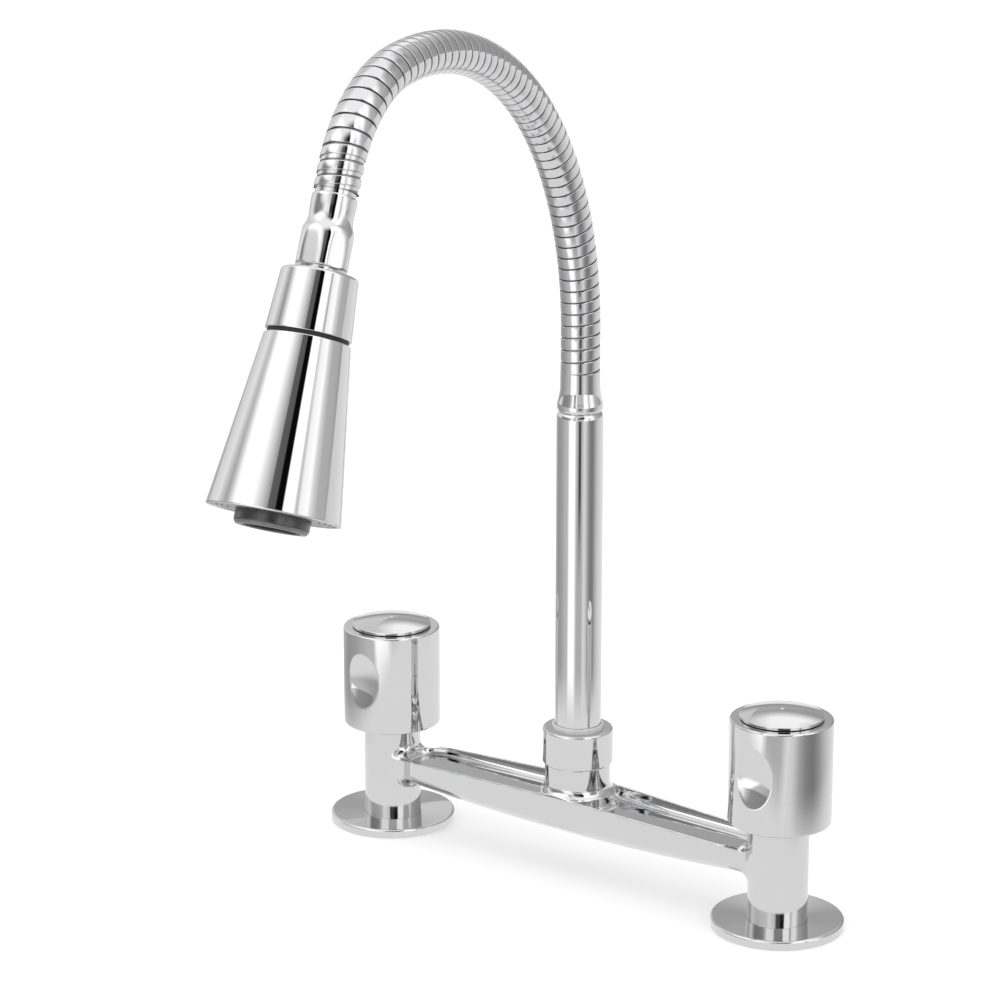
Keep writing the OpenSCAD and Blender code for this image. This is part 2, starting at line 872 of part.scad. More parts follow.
module groove_ring() {
    d = collar_d_low - 2;
    color("black") at_head() tube(d, core_neck_d + 2 * run_gap, collar_low, collar_low + ring_h);
}

module core_oring() {
    color("dimgray") at_head() groove_seal(core_neck_d, core_oring_z);
}

// Split ring that holds the skirt on the core's neck
module skirt_clip() {
    color("gray")
        at_head()
            difference() {
                tube(core_neck_d + 3, core_neck_d - 1.5, clip_z, clip_z + clip_t);
                translate([0, -2, clip_z - 1]) cube([core_neck_d, 4, clip_t + 2]);
            }
}

// Conical skirt, turned by hand to change the jet
module spray_skirt() {
    r1 = skirt_r(skirt_z);
    r2 = skirt_r(face_low);
    w = skirt_wall;
    color("silver")
        at_head()
            difference() {
                rotate_extrude($fn = 96)
                    polygon([[0, skirt_z], [r1 - 0.4, skirt_z], [r1, skirt_z + 0.4],
                             [r2, face_low - 0.4], [r2 - 0.4, face_low], [0, face_low]]);
                rotate_extrude($fn = 96)
                    polygon([[0, web_low], [skirt_r(web_low) - w, web_low], [r2 - w, face_low],
                             [r2 - w, face_low + 1], [0, face_low + 1]]);
                rod(core_neck_d + 2 * run_gap, skirt_z - 1, web_low + 1);
            }
}

// Water way that turns with the skirt: sleeve on the core's neck, plate and cup
module spray_insert() {
    gap = skirt_wall + seat_gap;
    plate_low = plate_z + plate_t;
    color("white")
        at_head()
            difference() {
                union() {
                    rotate_extrude($fn = 96)
                        polygon([[0, plate_z], [skirt_r(plate_z) - gap, plate_z],
                                 [skirt_r(plate_low) - gap, plate_low], [0, plate_low]]);
                    rod(sleeve_d, sleeve_z, plate_z + 1);
                    tube(cup_d + 2 * cup_wall, cup_d, plate_low - 1, face_z - 0.2);
                }
                rod(core_neck_d + 2 * run_gap, sleeve_z - 1, ledge_z);
                rod(core_neck_d - 4, ledge_z - 1, plate_low + 1);
                for (a = [45, 225])
                    rotate([0, 0, a]) {
                        translate([0, 0, plate_z + plate_t / 2])
                            rotate([0, 90, 0]) rod(1.2, 5, feed_x + 0.5);
                        translate([feed_x, 0, 0]) rod(1.6, plate_z + plate_t / 2, plate_low + 1);
                    }
            }
}

// White disc under the core whose port meets the core's port or turns away
module diverter_disc() {
    color("white")
        at_head()
            difference() {
                rod(core_neck_d - 2 * seat_gap, core_low, core_low + diverter_t);
                translate([port_x, 0, 0]) rod(core_port_d, core_low - 1, core_low + diverter_t + 1);
            }
}

// Face with groups of small nozzles round the aerator
module spray_face() {
    gap = skirt_wall + seat_gap;
    r1 = skirt_r(face_z) - gap;
    r2 = skirt_r(face_z + face_t) - gap;
    mid = (aerator_d / 2 + r1) / 2;
    color("gainsboro")
        at_head()
            difference() {
                rotate_extrude($fn = 96)
                    polygon([[0, face_z], [r1, face_z], [r2, face_z + face_t], [0, face_z + face_t]]);
                rod(aerator_d + 2 * seat_gap, face_z - 1, face_z + face_t + 1);
                for (g = [0:nozzle_groups - 1])
                    for (row = [-1:1])
                        for (col = [-1, 1])
                            rotate([0, 0, (g + 0.5) * 360 / nozzle_groups + row * 6])
                                translate([mid + col * 1.2, 0, 0])
                                    rod(nozzle_d, face_z - 1, face_z + face_t + 1);
            }
}

// Threaded outlet ring that holds the aerator's screen
module aerator_housing() {
    r = aerator_d / 2;
    rc = cup_d / 2 - seat_gap;
    color("dimgray")
        at_head()
            difference() {
                rotate_extrude($fn = 96)
                    polygon([[0, seal_low], [rc, seal_low], [rc, face_z], [r, face_z],
                             [r, aerator_low - 1.6], [r - 0.9, aerator_low], [0, aerator_low]]);
                rod(2 * (rc - aerator_wall), seal_low + 2, aerator_low + 1);
                rod(2 * (rc - aerator_wall - aerator_ledge), seal_low - 1, seal_low + 3);
            }
}

// Round screen: a rim with crossed bars at its outlet
module aerator_screen() {
    d = 2 * (cup_d / 2 - aerator_wall - 2 * seat_gap);
    low = aerator_low - 1.8;
    step = 2.2;
    n = floor((d / 2 - 1) / step);
    color("darkgray")
        at_head()
            union() {
                tube(d, d - 2, seal_low + 2 + seat_gap, low);
                intersection() {
                    rod(d - 1, low - 1.6, low);
                    union() {
                        for (k = [-n:n]) {
                            translate([-d, k * step - 0.35, low - 0.8]) cube([2 * d, 0.7, 0.8]);
                            translate([k * step - 0.35, -d, low - 1.6]) cube([0.7, 2 * d, 0.9]);
                        }
                    }
                }
            }
}

module aerator_seal() {
    color("dimgray") at_head() tube(cup_d - 2 * seat_gap, cup_d - 7, plate_z + plate_t, seal_low);
}

bridge_body();
flange(left);  // left_flange
flange(right);  // right_flange
flange_seal(left);  // left_flange_seal
flange_seal(right);  // right_flange_seal
valve_body(left);  // left_valve_body
valve_body(right);  // right_valve_body
spindle(left);  // left_spindle
spindle(right);  // right_spindle
fixed_disc(left);  // left_fixed_disc
fixed_disc(right);  // right_fixed_disc
moving_disc(left);  // left_moving_disc
moving_disc(right);  // right_moving_disc
seat_seal(left);  // left_seat_seal
seat_seal(right);  // right_seat_seal
spindle_oring(left);  // left_spindle_oring
spindle_oring(right);  // right_spindle_oring
body_washer(left);  // left_body_washer
body_washer(right);  // right_body_washer
knob(left);  // left_knob
knob(right);  // right_knob
knob_screw(left);  // left_knob_screw
knob_screw(right);  // right_knob_screw
index_cap(left);  // left_index_cap
index_cap(right);  // right_index_cap
spout_nut();
guide_ring();
spout_foot();
foot_oring(foot_groove_high);  // foot_oring_high
foot_oring(foot_groove_low);  // foot_oring_low
riser_tube();
lower_ferrule();
upper_ferrule();
ferrule_washer();
head_collar();
head_core();
groove_ring();
core_oring();
skirt_clip();
spray_skirt();
spray_insert();
spray_face();
diverter_disc();
aerator_housing();
aerator_screen();
aerator_seal();
for (i = [1:link_count]) {
    hose_link(i);
    inner_tube(i);
}
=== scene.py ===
# Kitchen bridge mixer: chrome casting, two knobs, swivel riser, ribbed gooseneck and spray head
import json
import math
import bpy
import numpy as np
from mathutils import Matrix, Vector


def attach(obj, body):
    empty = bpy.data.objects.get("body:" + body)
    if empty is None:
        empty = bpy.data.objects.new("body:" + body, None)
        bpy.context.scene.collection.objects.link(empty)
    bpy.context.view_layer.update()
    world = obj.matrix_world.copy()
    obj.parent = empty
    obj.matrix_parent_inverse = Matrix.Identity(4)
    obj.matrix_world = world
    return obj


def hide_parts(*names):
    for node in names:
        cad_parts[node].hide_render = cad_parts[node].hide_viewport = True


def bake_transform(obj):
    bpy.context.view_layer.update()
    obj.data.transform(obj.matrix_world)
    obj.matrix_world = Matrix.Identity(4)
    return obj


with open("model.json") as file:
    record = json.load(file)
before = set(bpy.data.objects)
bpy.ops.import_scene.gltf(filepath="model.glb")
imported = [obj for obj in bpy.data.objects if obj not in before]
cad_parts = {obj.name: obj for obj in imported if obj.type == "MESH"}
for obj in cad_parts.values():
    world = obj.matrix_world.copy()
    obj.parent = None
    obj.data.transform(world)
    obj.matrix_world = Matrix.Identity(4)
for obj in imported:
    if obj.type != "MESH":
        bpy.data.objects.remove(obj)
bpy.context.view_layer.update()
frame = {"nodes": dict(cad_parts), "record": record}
nodes = frame["nodes"]
mm = 0.001
print("frame loaded, nodes:", len(nodes))

# camera
cameraView = {"turn": 37.39, "height": 15.35, "roll": 0.03, "distance": 1369.38,
              "focal": 3218.47, "aside": -33.78, "aimHeight": 167.51}


def makeCamera(view):
    turn = math.radians(view["turn"])
    rise = math.radians(view["height"])
    roll = math.radians(view["roll"])
    forward = Vector((-math.sin(turn) * math.cos(rise), math.cos(turn) * math.cos(rise), -math.sin(rise)))
    right = Vector((math.cos(turn), math.sin(turn), 0))
    up = right.cross(forward)
    rightRolled = right * math.cos(roll) + up * math.sin(roll)
    upRolled = up * math.cos(roll) - right * math.sin(roll)
    aim = right * view["aside"] + Vector((0, 0, view["aimHeight"]))
    place = (aim - forward * view["distance"]) * mm
    data = bpy.data.cameras.new("camera")
    data.sensor_width = 36
    data.lens = view["focal"] / 1000 * 36
    data.clip_start = 0.05
    data.clip_end = 60
    camera = bpy.data.objects.new("camera", data)
    bpy.context.scene.collection.objects.link(camera)
    matrix = Matrix.Identity(4)
    for row in range(3):
        matrix[row][0] = rightRolled[row]
        matrix[row][1] = upRolled[row]
        matrix[row][2] = -forward[row]
        matrix[row][3] = place[row]
    camera.matrix_world = matrix
    bpy.context.scene.camera = camera


makeCamera(cameraView)
bpy.context.scene.view_settings.view_transform = "Standard"
print("camera set")


# node helpers
def addNode(tree, kind, inputs=None, **settings):
    node = tree.nodes.new(kind)
    for key, value in settings.items():
        setattr(node, key, value)
    for key, value in (inputs or {}).items():
        if isinstance(value, bpy.types.NodeSocket):
            tree.links.new(value, node.inputs[key])
        else:
            node.inputs[key].default_value = value
    return node


def mathNode(tree, operation, first, second=0.0, third=None):
    inputs = {0: first, 1: second}
    if third is not None:
        inputs[2] = third
    return addNode(tree, "ShaderNodeMath", inputs, operation=operation).outputs[0]


def rampNode(tree, factor, stops):
    ramp = addNode(tree, "ShaderNodeValToRGB", {0: factor})
    elements = ramp.color_ramp.elements
    while len(elements) < len(stops):
        elements.new(0.5)
    for element, (place, value) in zip(elements, stops):
        element.position = place
        shade = value if isinstance(value, tuple) else (value, value, value)
        element.color = (*shade, 1)
    return ramp.outputs["Color"]


def rangeNode(tree, value, start, end, low=0.0, high=1.0):
    inputs = {"Value": value, "From Min": start, "From Max": end, "To Min": low, "To Max": high}
    return addNode(tree, "ShaderNodeMapRange", inputs).outputs[0]


def mixLevels(tree, share, low, high):
    return addNode(tree, "ShaderNodeMix", {0: share, 2: low, 3: high}).outputs[0]


def newGroup(name, inputs, outputs):
    group = bpy.data.node_groups.new(name, "ShaderNodeTree")
    for label, kind, value in inputs:
        socket = group.interface.new_socket(label, in_out="INPUT", socket_type=kind)
        if value is not None:
            socket.default_value = value
    for label, kind in outputs:
        group.interface.new_socket(label, in_out="OUTPUT", socket_type=kind)
    return group, group.nodes.new("NodeGroupInput"), group.nodes.new("NodeGroupOutput")


def makePolishGroup():
    # soft clouding plus hairline marks, as values for roughness and height
    group, source, result = newGroup(
        "polishMarks",
        [("Cloud Scale", "NodeSocketFloat", 40.0), ("Mark Scale", "NodeSocketFloat", 260.0),
         ("Low", "NodeSocketFloat", 0.03), ("High", "NodeSocketFloat", 0.08)],
        [("Roughness", "NodeSocketFloat"), ("Height", "NodeSocketFloat"), ("Mask", "NodeSocketFloat")])
    place = addNode(group, "ShaderNodeTexCoord").outputs["Object"]
    clouds = {"Vector": place, "Scale": source.outputs["Cloud Scale"], "Detail": 2.0}
    cloud = addNode(group, "ShaderNodeTexNoise", clouds).outputs[0]
    scratches = {"Vector": place, "Scale": source.outputs["Mark Scale"], "Detail": 4.0, "Distortion": 0.6}
    marks = addNode(group, "ShaderNodeTexNoise", scratches).outputs[0]
    mask = mathNode(group, "MULTIPLY_ADD", marks, 0.4, mathNode(group, "MULTIPLY", cloud, 0.6))
    rough = rangeNode(group, mask, 0.35, 0.65, source.outputs["Low"], source.outputs["High"])
    for socket, label in ((rough, "Roughness"), (cloud, "Height"), (mask, "Mask")):
        group.links.new(socket, result.inputs[label])
    return group


def makeGrainGroup():
    # fine speckle for colour and height, as on moulded pieces
    group, source, result = newGroup(
        "fineGrain",
        [("Scale", "NodeSocketFloat", 900.0), ("Light", "NodeSocketColor", (0.8, 0.8, 0.8, 1)),
         ("Dark", "NodeSocketColor", (0.6, 0.6, 0.6, 1))],
        [("Color", "NodeSocketColor"), ("Height", "NodeSocketFloat")])
    place = addNode(group, "ShaderNodeTexCoord").outputs["Object"]
    speckle = {"Vector": place, "Scale": source.outputs["Scale"], "Detail": 3.0}
    fine = addNode(group, "ShaderNodeTexNoise", speckle).outputs[0]
    broad = addNode(group, "ShaderNodeTexNoise", {"Vector": place, "Scale": 60.0, "Detail": 2.0}).outputs[0]
    mixed = mathNode(group, "MULTIPLY_ADD", fine, 0.5, mathNode(group, "MULTIPLY", broad, 0.5))
    colors = {0: rangeNode(group, mixed, 0.35, 0.65), 6: source.outputs["Dark"], 7: source.outputs["Light"]}
    shade = addNode(group, "ShaderNodeMix", colors, data_type="RGBA")
    group.links.new(shade.outputs[2], result.inputs["Color"])
    group.links.new(fine, result.inputs["Height"])
    return group


groups = {"polish": makePolishGroup(), "grain": makeGrainGroup()}


def makeMetal(name, look):
    material = bpy.data.materials.new(name)
    material.use_nodes = True
    tree = material.node_tree
    shader = tree.nodes["Principled BSDF"]
    marks = addNode(tree, "ShaderNodeGroup", node_tree=groups["polish"])
    marks.inputs["Cloud Scale"].default_value = look["cloud"]
    marks.inputs["Mark Scale"].default_value = look["marks"]
    marks.inputs["Low"].default_value = look["rough"][0]
    marks.inputs["High"].default_value = look["rough"][1]
    tree.links.new(marks.outputs["Roughness"], shader.inputs["Roughness"])
    shade = rampNode(tree, marks.outputs["Mask"], [(0.3, look["dark"]), (0.7, look["light"])])
    tree.links.new(shade, shader.inputs["Base Color"])
    bump = addNode(tree, "ShaderNodeBump", {"Strength": look["bump"], "Distance": 0.00002,
                                            "Height": marks.outputs["Height"]})
    tree.links.new(bump.outputs[0], shader.inputs["Normal"])
    shader.inputs["Metallic"].default_value = 1.0
    return material


def makePlastic(name, look):
    material = bpy.data.materials.new(name)
    material.use_nodes = True
    tree = material.node_tree
    shader = tree.nodes["Principled BSDF"]
    grain = addNode(tree, "ShaderNodeGroup", node_tree=groups["grain"])
    grain.inputs["Scale"].default_value = look["scale"]
    grain.inputs["Light"].default_value = (*look["light"], 1)
    grain.inputs["Dark"].default_value = (*look["dark"], 1)
    tree.links.new(grain.outputs["Color"], shader.inputs["Base Color"])
    bump = addNode(tree, "ShaderNodeBump", {"Strength": look["bump"], "Distance": 0.00005,
                                            "Height": grain.outputs["Height"]})
    tree.links.new(bump.outputs[0], shader.inputs["Normal"])
    shader.inputs["Roughness"].default_value = look["rough"]
    shader.inputs["Specular IOR Level"].default_value = look.get("gloss", 0.5)
    return material


metals = {
    "chrome": {"dark": (0.655, 0.655, 0.66), "light": (0.68, 0.68, 0.685), "rough": (0.015, 0.04),
               "cloud": 30, "marks": 300, "bump": 0.04},
    "castChrome": {"dark": (0.65, 0.65, 0.655), "light": (0.68, 0.68, 0.685), "rough": (0.06, 0.1),
                   "cloud": 30, "marks": 300, "bump": 0.05},
    "hoseCrest": {"dark": (0.63, 0.63, 0.64), "light": (0.68, 0.68, 0.69), "rough": (0.07, 0.14),
                  "cloud": 60, "marks": 500, "bump": 0.15},
    # dark copy of the hose metal for the grooves: painted shade of the narrow recesses
    "hoseGroovePaintedShade": {"dark": (0.22, 0.22, 0.222), "light": (0.3, 0.3, 0.305), "rough": (0.25, 0.4),
                   "cloud": 90, "marks": 500, "bump": 0.2},
    "brass": {"dark": (0.50, 0.34, 0.12), "light": (0.66, 0.47, 0.19), "rough": (0.18, 0.3),
              "cloud": 80, "marks": 700, "bump": 0.3},
    "steel": {"dark": (0.42, 0.42, 0.43), "light": (0.56, 0.56, 0.57), "rough": (0.22, 0.36),
              "cloud": 90, "marks": 700, "bump": 0.3},
}
plastics = {
    "whitePlastic": {"light": (0.84, 0.84, 0.83), "dark": (0.78, 0.78, 0.77), "rough": 0.42, "scale": 800,
                     "bump": 0.1},
    "guidePlastic": {"light": (0.74, 0.74, 0.73), "dark": (0.66, 0.66, 0.65), "rough": 0.38, "scale": 800,
                     "bump": 0.1},
    "facePlastic": {"light": (0.425, 0.425, 0.43), "dark": (0.37, 0.37, 0.375), "rough": 0.4, "scale": 900,
                    "bump": 0.15},
    "nozzlePlastic": {"light": (0.31, 0.31, 0.31), "dark": (0.27, 0.27, 0.27), "rough": 0.5, "scale": 900,
                      "bump": 0.1},
    "darkPlastic": {"light": (0.045, 0.045, 0.047), "dark": (0.03, 0.03, 0.032), "rough": 0.24,
                    "scale": 900, "bump": 0.1, "gloss": 0.9},
    # lighter copy of darkPlastic for the outlet's rounded lip: painted sheen where the edge catches light
    "lipSheenPaintedPlastic": {"light": (0.2, 0.2, 0.2), "dark": (0.15, 0.15, 0.15), "rough": 0.32, "scale": 900,
                   "bump": 0.1},
    "screenPlastic": {"light": (0.34, 0.34, 0.345), "dark": (0.24, 0.24, 0.245), "rough": 0.5,
                      "scale": 900, "bump": 0.2},
    "blackPlastic": {"light": (0.022, 0.022, 0.022), "dark": (0.012, 0.012, 0.012), "rough": 0.55,
                     "scale": 700, "bump": 0.2},
    "rubber": {"light": (0.045, 0.045, 0.045), "dark": (0.025, 0.025, 0.025), "rough": 0.7, "scale": 600,
               "bump": 0.4},
    "ceramic": {"light": (0.88, 0.87, 0.83), "dark": (0.82, 0.81, 0.77), "rough": 0.2, "scale": 500,
                "bump": 0.05},
}
materials = {name: makeMetal(name, look) for name, look in metals.items()}
materials.update({name: makePlastic(name, look) for name, look in plastics.items()})
print("materials:", len(materials))


# turned pieces
def sampleProfile(profile, arcSteps=6):
    # takes a closed (r, z, fillet) outline, where fillet -1 means part of a smooth curve
    # and gives rows (a, b, normalA, normalB)
    count = len(profile)
    points = [np.array(point[:2], float) for point in profile]
    facing = []
    for k in range(count):
        step = points[(k + 1) % count] - points[k]
        size = np.hypot(*step) or 1.0
        facing.append(np.array([step[1], -step[0]]) / size)
    corners = []
    for k in range(count):
        before, after = facing[k - 1], facing[k]
        fillet = profile[k][2] if len(profile[k]) > 2 else 0
        if fillet == -1:
            mean = before + after
            mean /= np.hypot(*mean)
            corners.append([(points[k], mean, mean)])
            continue
        turn = before[0] * after[1] - before[1] * after[0]
        angle = math.atan2(turn, before @ after)
        if fillet <= 0 or abs(angle) < 0.02:
            corners.append([(points[k], before, after)])
            continue
        sign = 1 if angle > 0 else -1
        cut = fillet * math.tan(abs(angle) / 2)
        backward = points[k] - points[k - 1]
        start = points[k] - backward / np.hypot(*backward) * cut
        centre = start - before * fillet * sign
        first = math.atan2(before[1], before[0])
        ring = []
        for step in range(arcSteps + 1):
            bearing = first + angle * step / arcSteps
            normal = np.array([math.cos(bearing), math.sin(bearing)])
            ring.append((centre + normal * fillet * sign, normal, normal))
        corners.append(ring)
    rows = []
    for k in range(count):
        ring = corners[k]
        for one, two in zip(ring, ring[1:]):
            rows.append((one[0], two[0], one[2], two[1]))
        last, following = ring[-1], corners[(k + 1) % count][0]
        rows.append((last[0], following[0], last[2], following[1]))
    return [row for row in rows if np.hypot(*(row[1] - row[0])) > 1e-6 and max(row[0][0], row[1][0]) > 1e-6]


def splitRows(rows, longest):
    # cuts long rows into short ones, so that a shaped wall has points to follow
    result = []
    for a, b, normalA, normalB in rows:
        parts = max(1, int(math.ceil(np.hypot(*(b - a)) / longest)))
        for k in range(parts):
            t0, t1 = k / parts, (k + 1) / parts
            n0 = normalA + (normalB - normalA) * t0
            n1 = normalA + (normalB - normalA) * t1
            result.append((a + (b - a) * t0, a + (b - a) * t1, n0 / np.hypot(*n0), n1 / np.hypot(*n1)))
    return result


def smoothCurve(points, parts=5):
    # rounded line through the points, every sample marked as smooth
    points = [np.array(point, float) for point in points]
    padded = [2 * points[0] - points[1]] + points + [2 * points[-1] - points[-2]]
    samples = []
    for k in range(1, len(padded) - 2):
        p0, p1, p2, p3 = padded[k - 1:k + 3]
        for step in range(parts):
            t = step / parts
            spot = 0.5 * (2 * p1 + (p2 - p0) * t + (2 * p0 - 5 * p1 + 4 * p2 - p3) * t * t
                          + (3 * p1 - p0 - 3 * p2 + p3) * t ** 3)
            samples.append((spot[0], spot[1], -1))
    samples.append((points[-1][0], points[-1][1], -1))
    return samples


def meshFromGrid(name, corners, normals, faces, materialIndex=None):
    mesh = bpy.data.meshes.new(name)
    mesh.from_pydata([tuple(point) for point in corners], [], faces)
    mesh.polygons.foreach_set("use_smooth", [True] * len(mesh.polygons))
    if materialIndex is not None:
        mesh.polygons.foreach_set("material_index", materialIndex)
    mesh.normals_split_custom_set([tuple(normal) for normal in normals])
    mesh.update()
    return mesh


def turnPiece(name, profile, material, place=None, steps=160, longest=None, shape=None):
    rows = sampleProfile(profile)
    if longest:
        rows = splitRows(rows, longest)
    angles = np.arange(steps) * 2 * math.pi / steps
    index, spots, vertices = {}, [], []

    def ring(point):
        key = (round(float(point[0]), 4), round(float(point[1]), 4))
        if key not in index:
            index[key] = len(spots)
            spots.append(key)
        return index[key]

    links = [(ring(a), ring(b)) for a, b, _, _ in rows]
    starts = []
    for r, z in spots:
        starts.append(len(vertices))
        if r < 1e-3:
            vertices.append((0.0, 0.0, z))
            continue
        reach = shape(angles, r, z) if shape else np.full(steps, r)
        vertices += list(zip(reach * np.cos(angles), reach * np.sin(angles), np.full(steps, z)))

    def bent(theta, point, normal):
        # facing of the shaped wall, from small steps round and along it
        along = np.array([-normal[1], normal[0]])
        tiny = 0.02

        def spot(angle, where):
            reach = shape(angle, where[0], where[1])
            return np.stack([reach * np.cos(angle), reach * np.sin(angle), np.full_like(angle, where[1])], 1)

        around = spot(theta + 0.002, point) - spot(theta - 0.002, point)
        upward = spot(theta, point + along * tiny) - spot(theta, point - along * tiny)
        facing = np.cross(around, upward)
        return facing / np.linalg.norm(facing, axis=1)[:, None]

    def facingOf(point, normal):
        if shape and point[0] > 1e-3:
            return bent(angles, point, normal)
        flat = [np.cos(angles) * normal[0], np.sin(angles) * normal[0], np.full(steps, normal[1])]
        return np.stack(flat, 1)

    faces, normals = [], []
    for (first, second), (a, b, normalA, normalB) in zip(links, rows):
        low, high = facingOf(a, normalA), facingOf(b, normalB)
        for j in range(steps):
            n = (j + 1) % steps
            if spots[first][0] < 1e-3:
                faces.append((starts[first], starts[second] + n, starts[second] + j))
                normals += [low[j], high[n], high[j]]
            elif spots[second][0] < 1e-3:
                faces.append((starts[first] + j, starts[first] + n, starts[second]))
                normals += [low[j], low[n], high[j]]
            else:
                faces.append((starts[first] + j, starts[first] + n, starts[second] + n, starts[second] + j))
                normals += [low[j], low[n], high[n], high[j]]
    vertices = np.array(vertices) * mm
    normals = np.array(normals)
    if place is not None:
        turn = np.array(place.to_3x3())
        vertices = vertices @ turn.T + np.array(place.translation)
        normals = normals @ turn.T
    piece = bpy.data.objects.new(name, meshFromGrid(name, vertices, normals, faces))
    bpy.context.scene.collection.objects.link(piece)
    piece.data.materials.append(materials[material])
    return piece


def finishPiece(piece, body, slot, *replaced):
    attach(piece, body)
    if replaced:
        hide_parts(*replaced)


def at(x, y=0.0, z=0.0):
    return Matrix.Translation((x * mm, y * mm, z * mm))


def softMin(a, b, reach):
    close = np.maximum(reach - np.abs(a - b), 0) / reach
    return np.minimum(a, b) - close * close * reach / 4


# flanges, knobs and caps
side = {"spacing": 208, "pillarR": 12.7}
flange = {"r": 28.2, "thick": 4.0, "dish": 0.8, "boreR": 12.75, "sealIn": 14.75, "sealOut": 23.75,
          "sealDepth": 1.5, "edge": 1.0}
knob = {"r": 21.7, "low": 46.8, "top": 91.8, "edge": 0.8, "hollowR": 16.5, "hollowTop": 86.1, "wellR": 14,
        "wellLow": 82.5, "screwR": 2.05, "screwLow": 80.5, "shaftR": 4.05, "coreR": 7, "coreLow": 67.3,
        "roofR": 15.8, "roofLow": 80.7}
# a dimple is cut by a ball, and "none" is a reach past the wall, where the ball cuts nothing
dimple = {"r": 26, "depth": 3.1, "z": 70.6, "count": 2, "soft": 0.5, "none": 60}
cap = {"r": 17.7, "low": 92.1, "rim": 1.2, "dome": 2.4, "plugR": 13.95, "plugLow": 89.5, "plugIn": 12.45,
       "roof": 0.4, "steps": 14}


def dimpledWall(angles, r, z):
    reach = np.full_like(angles, float(r))
    if r < knob["r"] - 0.05:
        return reach
    d = dimple
    centre = knob["r"] + d["r"] - d["depth"]
    for k in range(d["count"]):
        away = angles - (-math.pi / 2 + k * 2 * math.pi / d["count"])
        away = (away + math.pi) % (2 * math.pi) - math.pi
        inside = d["r"] ** 2 - (centre * np.sin(away)) ** 2 - (z - d["z"]) ** 2
        near = (inside > 0) & (np.cos(away) > 0)
        ball = np.where(near, centre * np.cos(away) - np.sqrt(np.maximum(inside, 0)), d["none"])
        reach = np.where(ball < reach + d["soft"], softMin(reach, ball, d["soft"]), reach)
    return reach


def makeSide(name, sign):
    place = at(sign * side["spacing"] / 2)
    f = flange
    profile = [(f["boreR"], 0, 0.2), (f["sealIn"], 0, 0), (f["sealIn"], f["sealDepth"], 0),
               (f["sealOut"], f["sealDepth"], 0), (f["sealOut"], 0, 0), (f["r"], 0, 0.25),
               (f["r"], f["thick"], f["edge"]), (f["boreR"], f["thick"] - f["dish"], 0.15)]
    plate = turnPiece(name + "FlangePlate", profile, "chrome", place, 200)
    finishPiece(plate, "base", "polished_chrome", name + "_flange")
    k = knob
    profile = [(k["hollowR"], k["low"], 0.3), (k["r"], k["low"], k["edge"]), (k["r"], k["top"], k["edge"]),
               (k["wellR"], k["top"], 0.2), (k["wellR"], k["wellLow"], 0.2),
               (k["screwR"], k["wellLow"], 0), (k["screwR"], k["screwLow"], 0),
               (k["shaftR"], k["screwLow"], 0), (k["shaftR"], k["coreLow"], 0),
               (k["coreR"], k["coreLow"], 0.3), (k["coreR"], k["roofLow"], 0), (k["roofR"], k["roofLow"], 0),
               (k["roofR"], k["hollowTop"], 0), (k["hollowR"], k["hollowTop"], 0)]
    shell = turnPiece(name + "KnobShell", profile, "chrome", place, 224, 1.0, dimpledWall)
    finishPiece(shell, name + "_handle", "polished_chrome", name + "_knob")
    c = cap
    rimTop = c["low"] + c["rim"]
    bigR = (c["r"] ** 2 + c["dome"] ** 2) / (2 * c["dome"])
    spread = math.asin(c["r"] / bigR)
    dome = []
    for step in range(1, c["steps"]):
        bearing = spread * (1 - step / c["steps"])
        dome.append((bigR * math.sin(bearing), rimTop + c["dome"] - bigR + bigR * math.cos(bearing), -1))
    profile = [(c["plugIn"], c["plugLow"], 0), (c["plugR"], c["plugLow"], 0.2), (c["plugR"], c["low"], 0),
               (c["r"], c["low"], 0.15), (c["r"], rimTop, 0.3)] + dome + [
               (0, rimTop + c["dome"], -1), (0, rimTop - c["roof"], 0), (c["plugIn"], rimTop - c["roof"], 0)]
    lid = turnPiece(name + "CapDome", profile, "chrome", place, 160)
    finishPiece(lid, name + "_handle", "polished_chrome", name + "_index_cap")


makeSide("left", -1)
makeSide("right", 1)
print("flanges, knobs and caps made")

# nut, guide ring, riser and lower ferrule
riser = {"r": 10.0, "inR": 8.8, "low": 60.0, "top": 206.6}
nut = {"r": 15.3, "low": 50.0, "top": 65.8, "edge": 0.9, "boreR": 12.65, "ringR": 11.15, "stepZ": 62.05}
guide = {"r": 11.1, "low": 60.1, "top": 67.8, "boreR": 10.05, "footR": 12.6, "footTop": 62.0}
bell = {"rise": 17.2, "hoseR": 8.5, "stubR": 6.95, "stubDepth": 9.5, "boreR": 5.1, "plugR": 8.75,
        "plugDepth": 10}


